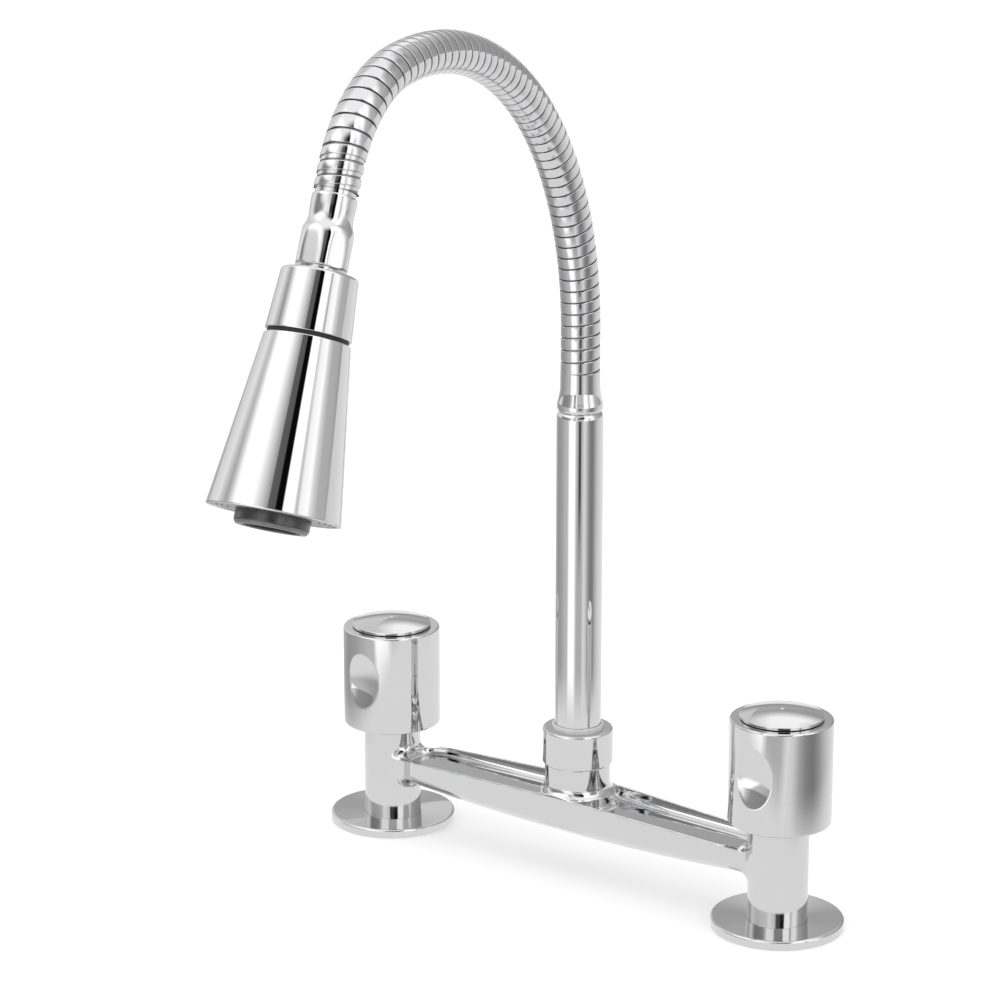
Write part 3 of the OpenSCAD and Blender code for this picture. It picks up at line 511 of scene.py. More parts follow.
def makeColumn():
    n = nut
    profile = [(n["boreR"], n["low"], 0), (n["r"], n["low"], n["edge"]), (n["r"], n["top"], n["edge"]),
               (n["ringR"], n["top"], 0.3), (n["ringR"], n["stepZ"], 0), (n["boreR"], n["stepZ"], 0)]
    finishPiece(turnPiece("spoutNutShell", profile, "chrome"), "base", "polished_chrome", "spout_nut")
    g = guide
    profile = [(g["boreR"], g["low"], 0), (g["footR"], g["low"], 0), (g["footR"], g["footTop"], 0),
               (g["r"], g["footTop"], 0), (g["r"], g["top"], 0.55), (g["boreR"], g["top"], 0.2)]
    finishPiece(turnPiece("guideRingBand", profile, "guidePlastic"), "base", "white_plastic", "guide_ring")
    p = riser
    roll = smoothCurve([(p["r"], p["top"] - 3.4), (p["r"] - 0.06, p["top"] - 2.2),
                        (p["r"] - 0.28, p["top"] - 1.2), (p["r"] - 0.7, p["top"] - 0.45),
                        (p["inR"] + 0.1, p["top"])])
    profile = [(p["inR"], p["low"], 0), (p["r"], p["low"], 0.2)] + roll + [(p["inR"], p["top"], 0)]
    pipe = turnPiece("riserPipe", profile, "chrome", None, 192)
    finishPiece(pipe, "spout", "polished_chrome", "riser_tube")
    b, z = bell, riser["top"]
    top = z + b["rise"]
    curve = smoothCurve([(8.9, z), (9.5, z + 0.8), (9.88, z + 2.2), (9.8, z + 3.6), (9.4, z + 5.2),
                         (8.9, z + 7.4), (8.6, z + 9.6), (8.52, z + 13), (b["hoseR"], top - 0.2)])
    profile = [(b["boreR"], z - b["plugDepth"], 0), (b["plugR"], z - b["plugDepth"], 0.2),
               (b["plugR"], z, 0)] + curve + [
               (b["hoseR"], top, 0), (b["stubR"], top, 0), (b["stubR"], top - b["stubDepth"], 0),
               (b["boreR"], top - b["stubDepth"], 0)]
    foot = turnPiece("lowerBell", profile, "chrome", None, 192)
    finishPiece(foot, "spout", "polished_chrome", "lower_ferrule")


makeColumn()
print("riser column made")

# route of the hose
hose = {"yaw": 9.5, "lowZ": 223.8, "straightIn": 17.5, "bend1R": 131, "bend1": 100, "bend2R": 56, "bend2": 57,
        "straightOut": 7, "pitch": 5.3, "crestR": 8.4, "grooveR": 7.7, "bandDrop": 0.45, "openLength": 21,
        "openEase": 6.0, "columns": 96}
hose["s2"] = hose["straightIn"] + hose["bend1R"] * math.radians(hose["bend1"])
hose["s3"] = hose["s2"] + hose["bend2R"] * math.radians(hose["bend2"])
hose["length"] = hose["s3"] + hose["straightOut"]
yaw = math.radians(hose["yaw"])
aside = np.array([math.cos(yaw), math.sin(yaw), 0.0])
outward = np.array([math.sin(yaw), -math.cos(yaw), 0.0])


def routeAt(s):
    # centre line in mm and heading in radians, for an array of distances
    s = np.asarray(s, float)
    s1, s2, s3 = hose["straightIn"], hose["s2"], hose["s3"]
    r1, r2 = hose["bend1R"], hose["bend2R"]
    a1, a2 = math.radians(hose["bend1"]), math.radians(hose["bend1"] + hose["bend2"])
    t1 = np.clip((s - s1) / r1, 0, a1)
    t2 = a1 + np.clip((s - s2) / r2, 0, a2 - a1)
    reach = r1 * (1 - np.cos(t1)) + r2 * (math.cos(a1) - np.cos(t2)) + np.maximum(s - s3, 0) * math.sin(a2)
    height = (hose["lowZ"] + np.minimum(s, s1) + r1 * np.sin(t1) + r2 * (np.sin(t2) - math.sin(a1))
              + np.maximum(s - s3, 0) * math.cos(a2))
    return reach, height, np.where(s <= s2, t1, t2)


def headPlace():
    reach, height, turn = (float(v) for v in routeAt(hose["length"]))
    down = outward * math.sin(turn) + np.array([0, 0, math.cos(turn)])
    across = np.cross(down, aside)
    matrix = Matrix.Identity(4)
    for row in range(3):
        matrix[row][0] = aside[row]
        matrix[row][1] = across[row]
        matrix[row][2] = down[row]
        matrix[row][3] = (outward[row] * reach + (height if row == 2 else 0)) * mm
    return matrix


# ribbed hose
def ribRows(spread):
    # one pitch of the strip as (fraction of the pitch, radius), from close ribs at 0 to spread ones at 1
    r, g = hose["crestR"], hose["grooveR"]
    crest = 0.88 - 0.29 * spread
    bandEnd = crest + 0.01 + 0.27 * spread
    bandR = (r - hose["bandDrop"]) * spread + g * (1 - spread)
    soft = 0.05
    return [(0.0, g), (0.012, r - 0.12), (0.012 + soft, r), (crest * 0.5, r + 0.03), (crest - soft, r),
            (crest, r - 0.14), (crest + 0.01, bandR), (bandEnd, bandR), (bandEnd + 0.01, g), (1.0, g)]


# facing of both ends of each row of the strip, as tilts towards the hose's far end
ribTilts = [(-0.95, -0.9), (-0.6, -0.07), (-0.07, 0.0), (0.0, 0.07), (0.07, 0.6), (0.9, 0.95),
            (0.02, 0.02), (0.9, 0.9), (0.0, 0.0)]
# metal of each row, 0 the crest's and 1 the groove's, whose dark colour is painted shade of the groove
ribShades = [1, 0, 0, 0, 0, 1, 0, 1, 1]
# this row is a band where the ribs stand apart, and part of the groove elsewhere
bandRow = 6


def hoseFrame(s):
    # centre, side that faces out of the bend, and direction of travel, for an array of distances
    reach, height, turn = routeAt(s)
    upright = np.array([0, 0, 1.0])
    sine, cosine = np.sin(turn)[..., None], np.cos(turn)[..., None]
    centre = outward * reach[..., None] + upright * height[..., None]
    return centre, outward * cosine - upright * sine, outward * sine + upright * cosine


def makeHose(name, low, high, replaced):
    pitch, columns = hose["pitch"], hose["columns"]
    first, last = int(round(low / pitch * columns)), int(round(high / pitch * columns))
    if low <= 0:
        first -= columns
    steps = np.arange(first, last + 1)
    phi = steps * 2 * math.pi / columns
    base = steps * pitch / columns
    spread = np.clip((base - (hose["length"] - hose["openLength"])) / hose["openEase"], 0, 1)
    spread = spread * spread * (3 - 2 * spread)
    table = [ribRows(value) for value in spread]
    rows = len(table[0])
    along = np.array([[row[0] for row in line] for line in table]) * pitch + base[:, None]
    radius = np.array([[row[1] for row in line] for line in table])
    centre, inner, forward = hoseFrame(np.clip(along, 0, hose["length"]))
    radial = inner * np.cos(phi)[:, None, None] + aside * np.sin(phi)[:, None, None]
    points = (centre + radial * radius[..., None]).reshape(-1, 3)
    faces, normals, shades = [], [], []
    for i in range(len(steps) - 1):
        for k in range(rows - 1):
            if along[i, k] >= hose["length"] or along[i + 1, k + 1] <= 0:
                continue
            closed = k == bandRow and spread[i] < 0.05
            shades.append(1 if closed else ribShades[k])
            p = i * rows + k
            faces.append((p, p + 1, p + rows + 1, p + rows))
            near, far = ribTilts[k]
            for line, row, tilt in ((i, k, near), (i, k + 1, far), (i + 1, k + 1, far), (i + 1, k, near)):
                lean = math.sqrt(max(0.0, 1 - tilt * tilt))
                normals.append(radial[line, row] * lean + forward[line, row] * tilt)
    # the strip's face order follows phi, so it is checked once against the outward direction
    a, b, c = (points[v] for v in faces[len(faces) // 2][:3])
    if np.dot(np.cross(b - a, c - a), normals[len(normals) // 2]) < 0:
        faces = [face[::-1] for face in faces]
        normals = [normals[4 * k + 3 - j] for k in range(len(faces)) for j in range(4)]
    used = sorted({v for face in faces for v in face})
    renumber = {v: k for k, v in enumerate(used)}
    faces = [tuple(renumber[v] for v in face) for face in faces]
    piece = bpy.data.objects.new(name, meshFromGrid(name, points[used] * mm, normals, faces, shades))
    bpy.context.scene.collection.objects.link(piece)
    piece.data.materials.append(materials["hoseCrest"])
    # the second metal is darker, painted shade in the grooves
    piece.data.materials.append(materials["hoseGroovePaintedShade"])
    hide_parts(*replaced)
    return piece


def makeHoses():
    joints = [hose["s2"] * j / 5 for j in range(6)] + [(hose["s2"] + hose["s3"]) / 2, hose["length"]]
    middles = [(joints[j] + joints[j + 1]) / 2 for j in range(7)]
    for j in range(6):
        low = 0 if j == 0 else middles[j]
        high = hose["length"] if j == 5 else middles[j + 1]
        replaced = ["hose_link_%d" % (j + 1)] + (["hose_link_7"] if j == 5 else [])
        piece = makeHose("hoseRibs%d" % (j + 1), low, high, replaced)
        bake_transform(piece)


makeHoses()
print("hose made")

# spray head
grip = {"af": 19.2, "sides": 6, "top": 14, "low": 28.6, "r": 10.2, "soft": 0.4, "lead": 1.5, "ease": 2.5}
headBell = {"stubR": 6.95, "stubDepth": 9.5, "boreR": 4.6, "plugR": 7.5, "plugLow": 42.1}
collar = {"top": 30.2, "low": 53.2, "topR": 14.2, "lowR": 15.95, "inR": 13.05, "capZ": 33.05, "holeR": 7.8,
          "topEdge": 1.3}
seam = {"inR": 8.05, "outR": 14.95, "thick": 1.2}
skirt = {"top": 54.6, "low": 119.0, "topR": 15.95, "lowR": 24.7, "wall": 1.8, "web": 58.0, "neckR": 8.05,
         "topEdge": 0.6, "lowEdge": 0.5}
face = {"top": 116.0, "low": 118.6, "outR": 22.5, "inR": 13.85, "seamR": 18.9, "seamDepth": 0.5}
nozzle = {"groups": 6, "ringR": (16.6, 20.6), "step": 6, "r": 0.5, "holeR": 0.24, "proud": 0.15,
          "root": 0.6, "holeDepth": 0.3}
outlet = {"r": 13.8, "low": 124.0, "top": 105.9, "plugR": 12.15, "boreR": 10.65, "ledgeR": 9.15, "ledge": 2}


def flatted(angles, r, z):
    g = grip
    reach = np.full_like(angles, float(r))
    if r < g["af"] / 2 - g["soft"] or z < g["top"] - g["lead"] or z > g["low"] + g["soft"]:
        return reach
    part = 2 * math.pi / g["sides"]
    away = angles % part - part / 2
    flat = g["af"] / 2 / np.cos(away)
    ease = max(0.0, min(1.0, (z - g["top"] + g["lead"]) / g["ease"]))
    return reach + (softMin(reach, flat, g["soft"]) - reach) * ease


def makeNozzles(place):
    n, low = nozzle, face["low"]
    profile = [(0, low - n["root"], 0), (n["r"], low - n["root"], 0), (n["r"] - 0.08, low + n["proud"], 0.1),
               (n["holeR"], low + n["proud"], 0.03), (n["holeR"], low - n["holeDepth"], 0),
               (0, low - n["holeDepth"], 0)]
    for group in range(n["groups"]):
        for row in (-1, 0, 1):
            for column, radius in enumerate(n["ringR"]):
                angle = math.radians((group + 0.5) * 360 / n["groups"] + row * n["step"])
                tip = at(radius * math.cos(angle), radius * math.sin(angle))
                name = "nozzle_%d_%d_%d" % (group, row + 1, column)
                stud = turnPiece(name, profile, "nozzlePlastic", place @ tip, 20)
                finishPiece(stud, "skirt", "face_plastic")


def makeOutlet(place):
    o, seat = outlet, face["top"]
    profile = [(o["ledgeR"], o["top"], 0), (o["plugR"], o["top"], 0), (o["plugR"], seat, 0),
               (o["r"], seat, 0), (o["r"], o["low"] - 1.5, 0.35), (o["r"] - 0.9, o["low"], 0.35),
               (o["boreR"], o["low"], 0.5), (o["boreR"], o["top"] + o["ledge"], 0),
               (o["ledgeR"], o["top"] + o["ledge"], 0)]
    ring = turnPiece("outletRing", profile, "darkPlastic", place, 160)
    finishPiece(ring, "skirt", "dark_plastic", "aerator_housing")
    # a thin lighter shell over the outlet's rounded lower lip: painted sheen on the dark plastic ring
    profile = [(o["boreR"] - 0.03, o["low"] - 0.5, 0), (o["boreR"] + 0.4, o["low"] - 0.3, 0),
               (o["r"] + 0.03, o["low"] - 1.3, 0.1), (o["r"] - 0.87, o["low"] + 0.04, 0.3),
               (o["boreR"] + 0.2, o["low"] + 0.04, 0.2)]
    finishPiece(turnPiece("outletLipPaintedSheen", profile, "lipSheenPaintedPlastic", place, 160), "skirt", "dark_plastic")


def makeHead():
    place = headPlace()
    b = headBell
    curve = smoothCurve([(8.4, 2.3), (8.38, 6), (8.22, 9.4), (8.35, 11.2), (8.8, 12.9), (9.4, 14.3),
                         (9.85, 16.2), (10.05, 18.6), (10.18, 22), (10.2, 25)])
    profile = [(b["stubR"], 0, 0), (7.6, 0, 0.1), (7.6, 1.6, 0), (8.25, 1.9, 0.15)] + curve + [
               (grip["r"], grip["low"], 0.9), (b["plugR"], grip["low"], 0), (b["plugR"], b["plugLow"], 0),
               (b["boreR"], b["plugLow"], 0), (b["boreR"], b["stubDepth"], 0),
               (b["stubR"], b["stubDepth"], 0)]
    piece = turnPiece("upperBell", profile, "chrome", place, 216, 0.8, flatted)
    finishPiece(piece, "head", "polished_chrome", "upper_ferrule")
    c = collar
    profile = [(c["holeR"], c["top"], 0.2), (c["topR"], c["top"], c["topEdge"]), (c["lowR"], c["low"], 0.35),
               (c["inR"], c["low"], 0), (c["inR"], c["capZ"], 0), (c["holeR"], c["capZ"], 0)]
    piece = turnPiece("collarShell", profile, "chrome", place, 192)
    finishPiece(piece, "head", "chromed_plastic", "head_collar")
    seamLow = c["low"] + seam["thick"]
    profile = [(seam["inR"], c["low"], 0), (seam["outR"], c["low"], 0), (seam["outR"], seamLow, 0),
               (seam["inR"], seamLow, 0)]
    piece = turnPiece("seamRing", profile, "blackPlastic", place)
    finishPiece(piece, "head", "black_plastic", "groove_ring")
    s = skirt
    slope = (s["lowR"] - s["topR"]) / (s["low"] - s["top"])
    webR = s["topR"] + slope * (s["web"] - s["top"]) - s["wall"]
    profile = [(s["neckR"], s["top"], 0), (s["topR"], s["top"], s["topEdge"]),
               (s["lowR"], s["low"], s["lowEdge"]), (s["lowR"] - s["wall"], s["low"], 0.3),
               (webR, s["web"], 0), (s["neckR"], s["web"], 0)]
    piece = turnPiece("skirtCone", profile, "chrome", place, 224)
    finishPiece(piece, "skirt", "chromed_plastic", "spray_skirt")
    f = face
    seamTop = f["low"] - f["seamDepth"]
    profile = [(f["inR"], f["top"], 0), (f["outR"], f["top"], 0), (f["outR"] + 0.3, f["low"], 0.2),
               (f["seamR"] + 0.35, f["low"], 0.12), (f["seamR"] + 0.2, seamTop, 0),
               (f["seamR"] - 0.2, seamTop, 0), (f["seamR"] - 0.35, f["low"], 0.12), (f["inR"], f["low"], 0.2)]
    plate = turnPiece("facePlate", profile, "facePlastic", place, 192)
    finishPiece(plate, "skirt", "face_plastic", "spray_face")
    makeOutlet(place)
    makeNozzles(place)


makeHead()
print("spray head made")

# bridge casting
casting = {"armHalf": 102, "topHub": 37.4, "topEnd": 33.9, "halfHub": 15.5, "halfEnd": 12.2, "bellyZ": 35,
           "bellyHub": 17.6, "bellyEnd": 13.4, "hubR": 14.2, "hubLow": 24.5, "shoulder": 50, "neckR": 12.6,
           "neckTop": 57, "pillarTop": 50, "hubFillet": 4.0, "pillarFillet": 4.2, "rim": 0.4,
           "sideEdge": 0.9, "turnedEdge": 0.3, "endFrom": 80, "endLength": 14, "endTaper": 4.5, "endRim": 2.6}
trough = {"lip": 1.0, "floor": 31.5, "floorSoft": 2.6, "hubR": 16.4, "hubSoft": 2.4, "pillarGap": 0.3,
          "pillarSoft": 6.5, "start": 6}
# bores as (radius, lower end, upper end), and the cross way between them
pillarBores = ((9.3, -2, 15), (4.5, 14, 22), (9.8, 21.5, 39), (10.45, 38, 52))
hubBores = ((9.05, 34, 60), (7, 25, 35))
waterWay = {"r": 3, "z": 26.5}


def roundMax(a, b, r):
    return np.minimum(np.maximum(a, b), -r) + np.sqrt(np.maximum(a + r, 0) ** 2 + np.maximum(b + r, 0) ** 2)


def roundMin(a, b, r):
    return -roundMax(-a, -b, r)


def softStep(t):
    t = np.clip(t, 0, 1)
    return t * t * (3 - 2 * t)


def castingField(x, y, z):
    c = casting
    far = np.abs(x)
    part = far / c["armHalf"]
    half = c["halfHub"] + (c["halfEnd"] - c["halfHub"]) * part
    top = c["topHub"] + (c["topEnd"] - c["topHub"]) * part
    fall = c["bellyHub"] - c["bellyEnd"]
    arc = (c["armHalf"] ** 2 + fall ** 2) / (2 * fall)
    belly = c["bellyHub"] - arc + np.sqrt(np.maximum(arc ** 2 - far ** 2, 0))
    under = np.sqrt(y * y + (z - c["bellyZ"]) ** 2) - belly
    ending = softStep((far - c["endFrom"]) / c["endLength"])
    outer = half - c["endTaper"] * ending
    arms = roundMax(under, np.abs(y) - outer, c["sideEdge"])
    arms = roundMax(arms, z - top, c["rim"] + c["endRim"] * ending)
    arms = np.maximum(arms, far - c["armHalf"])
    fromHub = np.hypot(x, y)
    pillarX = side["spacing"] / 2
    fromPillar = np.hypot(far - pillarX, y)
    hub = roundMax(fromHub - c["hubR"], z - c["shoulder"], c["turnedEdge"])
    hub = np.maximum(hub, c["hubLow"] - z)
    pillar = roundMax(np.maximum(fromPillar - side["pillarR"], -z), z - c["pillarTop"], c["rim"])
    body = roundMin(roundMin(arms, hub, c["hubFillet"]), pillar, c["pillarFillet"])
    neck = roundMax(fromHub - c["neckR"], z - c["neckTop"], c["turnedEdge"])
    body = np.minimum(body, np.maximum(neck, c["shoulder"] - 2 - z))
    t = trough
    plan = roundMax(np.abs(y) - (outer - t["lip"]), t["hubR"] - fromHub, t["hubSoft"])
    plan = roundMax(plan, side["pillarR"] + t["pillarGap"] - fromPillar, t["pillarSoft"])
    plan = np.maximum(plan, t["start"] - far)
    body = roundMax(body, -roundMax(plan, t["floor"] - z, t["floorSoft"]), c["rim"])
    for away, bores in ((fromPillar, pillarBores), (fromHub, hubBores)):
        for r, low, high in bores:
            body = np.maximum(body, -np.maximum(away - r, np.maximum(low - z, z - high)))
    way = np.maximum(np.hypot(y, z - waterWay["z"]) - waterWay["r"], far - pillarX)
    return np.maximum(body, -way)


def netSurface(field, axes):
    # quads of the zero surface: one point in each crossed cell, one quad round each crossed edge
    xs, ys, zs = axes
    inside = field < 0
    nx, ny, nz = field.shape
    total = np.zeros((nx - 1, ny - 1, nz - 1, 3))
    count = np.zeros((nx - 1, ny - 1, nz - 1))
    grid = np.stack(np.meshgrid(xs, ys, zs, indexing="ij"), -1)
    shape = (nx - 1, ny - 1, nz - 1)
    for axis in range(3):
        step = np.zeros(3, int)
        step[axis] = 1
        others = [k for k in range(3) if k != axis]
        for u in (0, 1):
            for v in (0, 1):
                start = np.zeros(3, int)
                start[others[0]], start[others[1]] = u, v
                one = tuple(slice(start[k], start[k] + shape[k]) for k in range(3))
                two = tuple(slice(start[k] + step[k], start[k] + step[k] + shape[k]) for k in range(3))
                fa, fb = field[one], field[two]
                crossed = inside[one] != inside[two]
                share = np.where(crossed, fa / np.where(crossed, fa - fb, 1), 0)
                spot = grid[one] + (grid[two] - grid[one]) * share[..., None]
                total += np.where(crossed[..., None], spot, 0)
                count += crossed
    active = count > 0
    number = np.full(shape, -1)
    number[active] = np.arange(active.sum())
    points = total[active] / count[active][:, None]
    quads = []
    for axis in range(3):
        u, v = (axis + 1) % 3, (axis + 2) % 3
        one = [slice(1, n - 1) for n in field.shape]
        two = list(one)
        one[axis] = slice(0, field.shape[axis] - 1)
        two[axis] = slice(1, field.shape[axis])
        a, b = inside[tuple(one)], inside[tuple(two)]
        where = np.argwhere(a != b)
        outwardFirst = a[a != b]
        base = where.copy()
        for k in (u, v):
            base[:, k] += 1
        cells = []
        for du, dv in ((-1, -1), (0, -1), (0, 0), (-1, 0)):
            cell = base.copy()
            cell[:, u] += du
            cell[:, v] += dv
            cells.append(number[cell[:, 0], cell[:, 1], cell[:, 2]])
        quad = np.stack(cells, 1)
        quad[~outwardFirst] = quad[~outwardFirst][:, ::-1]
        quads.append(quad)
    return points, np.concatenate(quads)


def fieldSlope(points, reach=0.02):
    slope = np.zeros_like(points)
    for axis in range(3):
        step = np.zeros(3)
        step[axis] = reach
        ahead, behind = points + step, points - step
        slope[:, axis] = castingField(*ahead.T) - castingField(*behind.T)
    return slope / (2 * reach)


# cells of the casting's net in mm, and how its points are drawn onto the surface
net = {"endX": 118.5, "endY": 18.2, "lowZ": -1.0, "topZ": 58.3, "stepX": 1.0, "step": 0.4, "shift": 0.013,
       "rounds": 4, "farthest": 0.45}


def makeCasting():
    n = net
    xs = np.arange(-n["endX"], n["endX"] + n["stepX"] / 2, n["stepX"])
    ys = np.arange(-n["endY"], n["endY"] + n["step"] / 4, n["step"])
    zs = np.arange(n["lowZ"], n["topZ"], n["step"]) + n["shift"]
    gx, gy, gz = np.meshgrid(xs, ys, zs, indexing="ij")
    points, quads = netSurface(castingField(gx, gy, gz), (xs, ys, zs))
    start = points.copy()
    for _ in range(n["rounds"]):
        slope = fieldSlope(points)
        size = np.maximum((slope ** 2).sum(1), 0.05)
        move = -castingField(*points.T)[:, None] * slope / size[:, None]
        points = start + np.clip(points + move - start, -n["farthest"], n["farthest"])
    slope = fieldSlope(points, 0.06)
    slope /= np.maximum(np.linalg.norm(slope, axis=1), 1e-6)[:, None]
    points[:, 2] = np.maximum(points[:, 2], 0)
    mesh = bpy.data.meshes.new("bridgeCasting")
    mesh.from_pydata((points * mm).tolist(), [], quads.tolist())
    mesh.polygons.foreach_set("use_smooth", [True] * len(mesh.polygons))
    mesh.normals_split_custom_set_from_vertices(slope.tolist())
    piece = bpy.data.objects.new("bridgeCasting", mesh)
    bpy.context.scene.collection.objects.link(piece)
    piece.data.materials.append(materials["castChrome"])
    finishPiece(piece, "base", "polished_chrome", "bridge_body")
    print("casting quads:", len(quads))


makeCasting()

# finishes of the inner pieces
slotLook = {"polished_chrome": "chrome", "chromed_plastic": "chrome", "hose_metal": "hoseCrest",
            "turned_brass": "brass", "plain_steel": "steel", "ceramic": "ceramic", "seal_rubber": "rubber",
            "white_plastic": "whitePlastic", "face_plastic": "facePlastic", "dark_plastic": "darkPlastic",
            "black_plastic": "blackPlastic"}
for part in frame["record"]["subparts"]:
    node = nodes[part["node"]]
    look = "screenPlastic" if part["node"] == "aerator_screen" else slotLook[part["material_slot"]]
    node.data.materials.clear()
    node.data.materials.append(materials[look])
print("inner pieces finished")

# floor and light
# metal alone sees the floor glow with painted light and shade: white out to nearEnd metres, and as roundLow
# says from farStart on
studio = {"floorHalf": 14, "floorColor": 0.8, "glow": 0.34, "turn": cameraView["turn"], "near": 0.98,
          "nearEnd": 0.20, "farStart": 0.31}
# a painted shade strip on the floor in front, seen only by metal, in metres from the middle and degrees round
# it
strip = {"from": 0.48, "to": 0.72, "depth": 0.85, "round": [(-9, 0.0), (-5, 1.0), (4, 1.0), (7, 0.0)]}
# heights in degrees between which one part of the world passes into the next, with the cards' lean in
# degrees, the brightness high up, and the cone behind the tap as cosines
sky = {"lean": 10.5, "leanFrom": 15.0, "leanTo": 40.0, "greyFrom": 20.0, "greyTo": 32.0, "cardsFrom": 24.0,
       "cardsTo": 35.0, "footFrom": 19.0, "footTo": 15.5, "evenFrom": 46.0, "evenTo": 62.0, "even": 1.25,
       "behindFrom": -0.93, "behindTo": -0.98}
# brightness well above the horizon as (degrees, value); 0 is the side of the main view, + is its right
roundHigh = [(-180, 0.80), (-160, 0.75), (-143, 0.85), (-121, 1.1), (-108, 1.35), (-96, 1.9), (-60, 1.9),
             (-46, 1.35), (-33, 0.95), (-20, 0.55), (-16.5, 0.50), (-15, 0.004), (-1, 0.004), (0, 0.004),
             (16, 0.004), (17.5, 1.5), (22, 1.9), (40, 1.8), (42, 0.6), (44, 1.6), (66, 1.5), (73, 1.0),
             (84, 0.62), (108, 0.42), (120, 0.62), (146, 0.72), (156, 1.3), (170, 1.3), (180, 0.80)]
# brightness just above the horizon
roundMid = [(-180, 0.8), (-143, 0.85), (-118, 1.1), (-104, 0.6), (-95, 0.3), (-60, 0.4), (-51, 0.7),
            (-42, 1.4), (-17.5, 1.3), (-16, 0.004), (16, 0.004), (17.5, 1.5), (38, 1.5), (45, 0.5),
            (50, 1.3), (66, 1.5), (73, 1.0), (84, 0.62), (97, 0.6), (110, 0.48), (125, 0.45), (150, 0.4),
            (180, 0.5)]
# where the dark strip in front shows a grey half, higher up
greyHalf = [(-17, 0.0), (-15, 0.15), (0, 0.13), (2, 0.0)]
# and where it is pale, close to the horizon
paleFoot = [(-18, 0.0), (-16, 0.7), (16, 0.7), (18, 0.0)]
# painted light and shade of the floor further out, as metal shows it
roundLow = [(-180, 0.95), (-160, 0.8), (-146, 0.55), (-121, 0.41), (-96, 0.5), (-72, 0.68), (-60, 0.7),
            (-52, 1.5), (-27, 1.6), (-20, 1.0), (-14, 0.62), (-2, 0.6), (10, 0.62), (20, 1.0), (30, 0.85),
            (40, 0.5), (50, 0.32), (62, 0.26), (72, 0.38), (84, 0.62), (100, 0.85), (130, 1.0), (180, 0.95)]
# behind the tap, from the horizon at 0 up to straight above at 1
belt = [(0.0, 0.5), (0.05, 0.5), (0.09, 0.18), (0.16, 0.25), (0.24, 0.36), (0.34, 0.45), (0.42, 0.9),
        (0.6, 0.75), (1.0, 0.65)]


def bearingShare(tree, vector, lean=0.0):
    # place round the horizon as 0 to 1, with the main view's side in the middle
    parts = addNode(tree, "ShaderNodeSeparateXYZ", {0: vector})
    bearing = mathNode(tree, "ARCTAN2", parts.outputs[0], mathNode(tree, "MULTIPLY", parts.outputs[1], -1.0))
    share = mathNode(tree, "MULTIPLY_ADD", bearing, 1 / (2 * math.pi), 1.5 - studio["turn"] / 360)
    return mathNode(tree, "FRACT", mathNode(tree, "SUBTRACT", share, lean)), parts


def roundRamp(tree, share, stops):
    color = rampNode(tree, share, [((angle + 180) / 360, value / 2) for angle, value in stops])
    return mathNode(tree, "MULTIPLY", color, 2.0)


def makeWorld():
    world = bpy.data.worlds.new("studio")
    bpy.context.scene.world = world
    world.use_nodes = True
    tree = world.node_tree
    tree.nodes.clear()
    place = addNode(tree, "ShaderNodeTexCoord").outputs["Generated"]
    height = addNode(tree, "ShaderNodeSeparateXYZ", {0: place}).outputs[2]
    degrees = mathNode(tree, "MULTIPLY", mathNode(tree, "ARCSINE", height), 180 / math.pi)
    # the cards lean: the higher, the further to the right
    lean = rangeNode(tree, degrees, sky["leanFrom"], sky["leanTo"], 0.0, sky["lean"] / 360)
    share, parts = bearingShare(tree, place, lean)
    front = rangeNode(tree, degrees, sky["greyFrom"], sky["greyTo"])
    grey = mathNode(tree, "MULTIPLY", roundRamp(tree, share, greyHalf), front)
    upper = rangeNode(tree, degrees, sky["cardsFrom"], sky["cardsTo"])
    cards = mixLevels(tree, upper, roundRamp(tree, share, roundMid), roundRamp(tree, share, roundHigh))
    foot = rangeNode(tree, degrees, sky["footFrom"], sky["footTo"])
    pale = mathNode(tree, "MULTIPLY", roundRamp(tree, share, paleFoot), foot)
    level = mathNode(tree, "ADD", cards, mathNode(tree, "ADD", grey, pale))
    # the upper sky is even and bright, and the cards fade into it
    lit = mixLevels(tree, rangeNode(tree, degrees, sky["evenFrom"], sky["evenTo"]), level, sky["even"])
    # behind the tap: bright at the horizon, a dark belt, then bright again
    beltLevel = mathNode(tree, "MULTIPLY", rampNode(tree, mathNode(tree, "DIVIDE", degrees, 90.0), belt), 2.0)
    turn = math.radians(studio["turn"])
    toward = mathNode(tree, "MULTIPLY_ADD", parts.outputs[0], math.sin(turn),
                      mathNode(tree, "MULTIPLY", parts.outputs[1], -math.cos(turn)))
    behind = rangeNode(tree, toward, sky["behindFrom"], sky["behindTo"])
    full = mixLevels(tree, behind, lit, beltLevel)
    path = addNode(tree, "ShaderNodeLightPath")
    strength = mixLevels(tree, path.outputs["Is Camera Ray"], full, 1.0)
    shader = addNode(tree, "ShaderNodeBackground", {"Color": (1, 1, 1, 1), "Strength": strength})
    output = addNode(tree, "ShaderNodeOutputWorld")
    tree.links.new(shader.outputs[0], output.inputs[0])


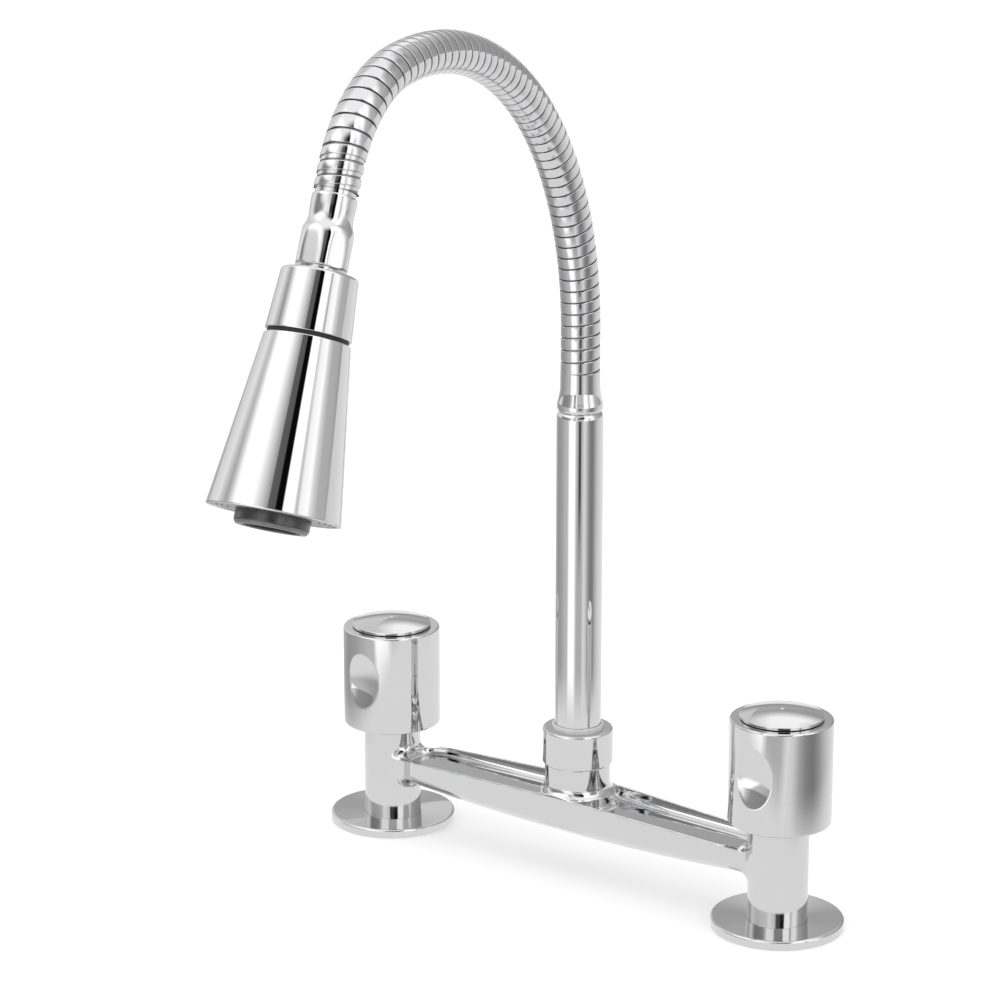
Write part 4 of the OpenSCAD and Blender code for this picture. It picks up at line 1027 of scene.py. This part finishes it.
def makeFloor():
    half = studio["floorHalf"]
    mesh = bpy.data.meshes.new("floor")
    corners = [(-half, -half, 0), (half, -half, 0), (half, half, 0), (-half, half, 0)]
    mesh.from_pydata(corners, [], [(0, 1, 2, 3)])
    floor = bpy.data.objects.new("floor", mesh)
    bpy.context.scene.collection.objects.link(floor)
    floor.location.z = -0.0002
    material = bpy.data.materials.new("floorPaper")
    material.use_nodes = True
    tree = material.node_tree
    tree.nodes.clear()
    place = addNode(tree, "ShaderNodeTexCoord").outputs["Object"]
    share, _ = bearingShare(tree, place)
    distance = addNode(tree, "ShaderNodeVectorMath", {0: place}, operation="LENGTH").outputs["Value"]
    depth = rangeNode(tree, distance, strip["from"], strip["to"], 0.0, strip["depth"])
    dark = mathNode(tree, "MULTIPLY", roundRamp(tree, share, strip["round"]), depth)
    pale = mathNode(tree, "SUBTRACT", 1.0, dark)
    level = mathNode(tree, "MULTIPLY", roundRamp(tree, share, roundLow), pale)
    limits = {"Value": distance, "From Min": studio["nearEnd"], "From Max": studio["farStart"]}
    far = addNode(tree, "ShaderNodeMapRange", limits, interpolation_type="SMOOTHSTEP").outputs[0]
    paintedFloorLevel = mixLevels(tree, far, studio["near"], level)
    grain = addNode(tree, "ShaderNodeTexNoise", {"Vector": place, "Scale": 90.0, "Detail": 3.0})
    white = studio["floorColor"]
    tone = rampNode(tree, grain.outputs[0], [(0.0, white * 0.985), (1.0, white)])
    paper = addNode(tree, "ShaderNodeBsdfDiffuse", {"Color": tone})
    glow = addNode(tree, "ShaderNodeEmission", {"Color": (1, 1, 1, 1), "Strength": studio["glow"]})
    seen = addNode(tree, "ShaderNodeAddShader")
    tree.links.new(paper.outputs[0], seen.inputs[0])
    tree.links.new(glow.outputs[0], seen.inputs[1])
    # glow seen only in reflections: painted light and shade on the floor
    mirrored = addNode(tree, "ShaderNodeEmission", {"Color": (1, 1, 1, 1), "Strength": paintedFloorLevel})
    path = addNode(tree, "ShaderNodeLightPath")
    camera = addNode(tree, "ShaderNodeMixShader", {0: path.outputs["Is Camera Ray"]})
    tree.links.new(paper.outputs[0], camera.inputs[1])
    tree.links.new(seen.outputs[0], camera.inputs[2])
    shiny = mathNode(tree, "MAXIMUM", path.outputs["Is Glossy Ray"], path.outputs["Is Transmission Ray"])
    final = addNode(tree, "ShaderNodeMixShader", {0: shiny})
    tree.links.new(camera.outputs[0], final.inputs[1])
    tree.links.new(mirrored.outputs[0], final.inputs[2])
    output = addNode(tree, "ShaderNodeOutputMaterial")
    tree.links.new(final.outputs[0], output.inputs[0])
    mesh.materials.append(material)


makeWorld()
makeFloor()
print("floor and light made")
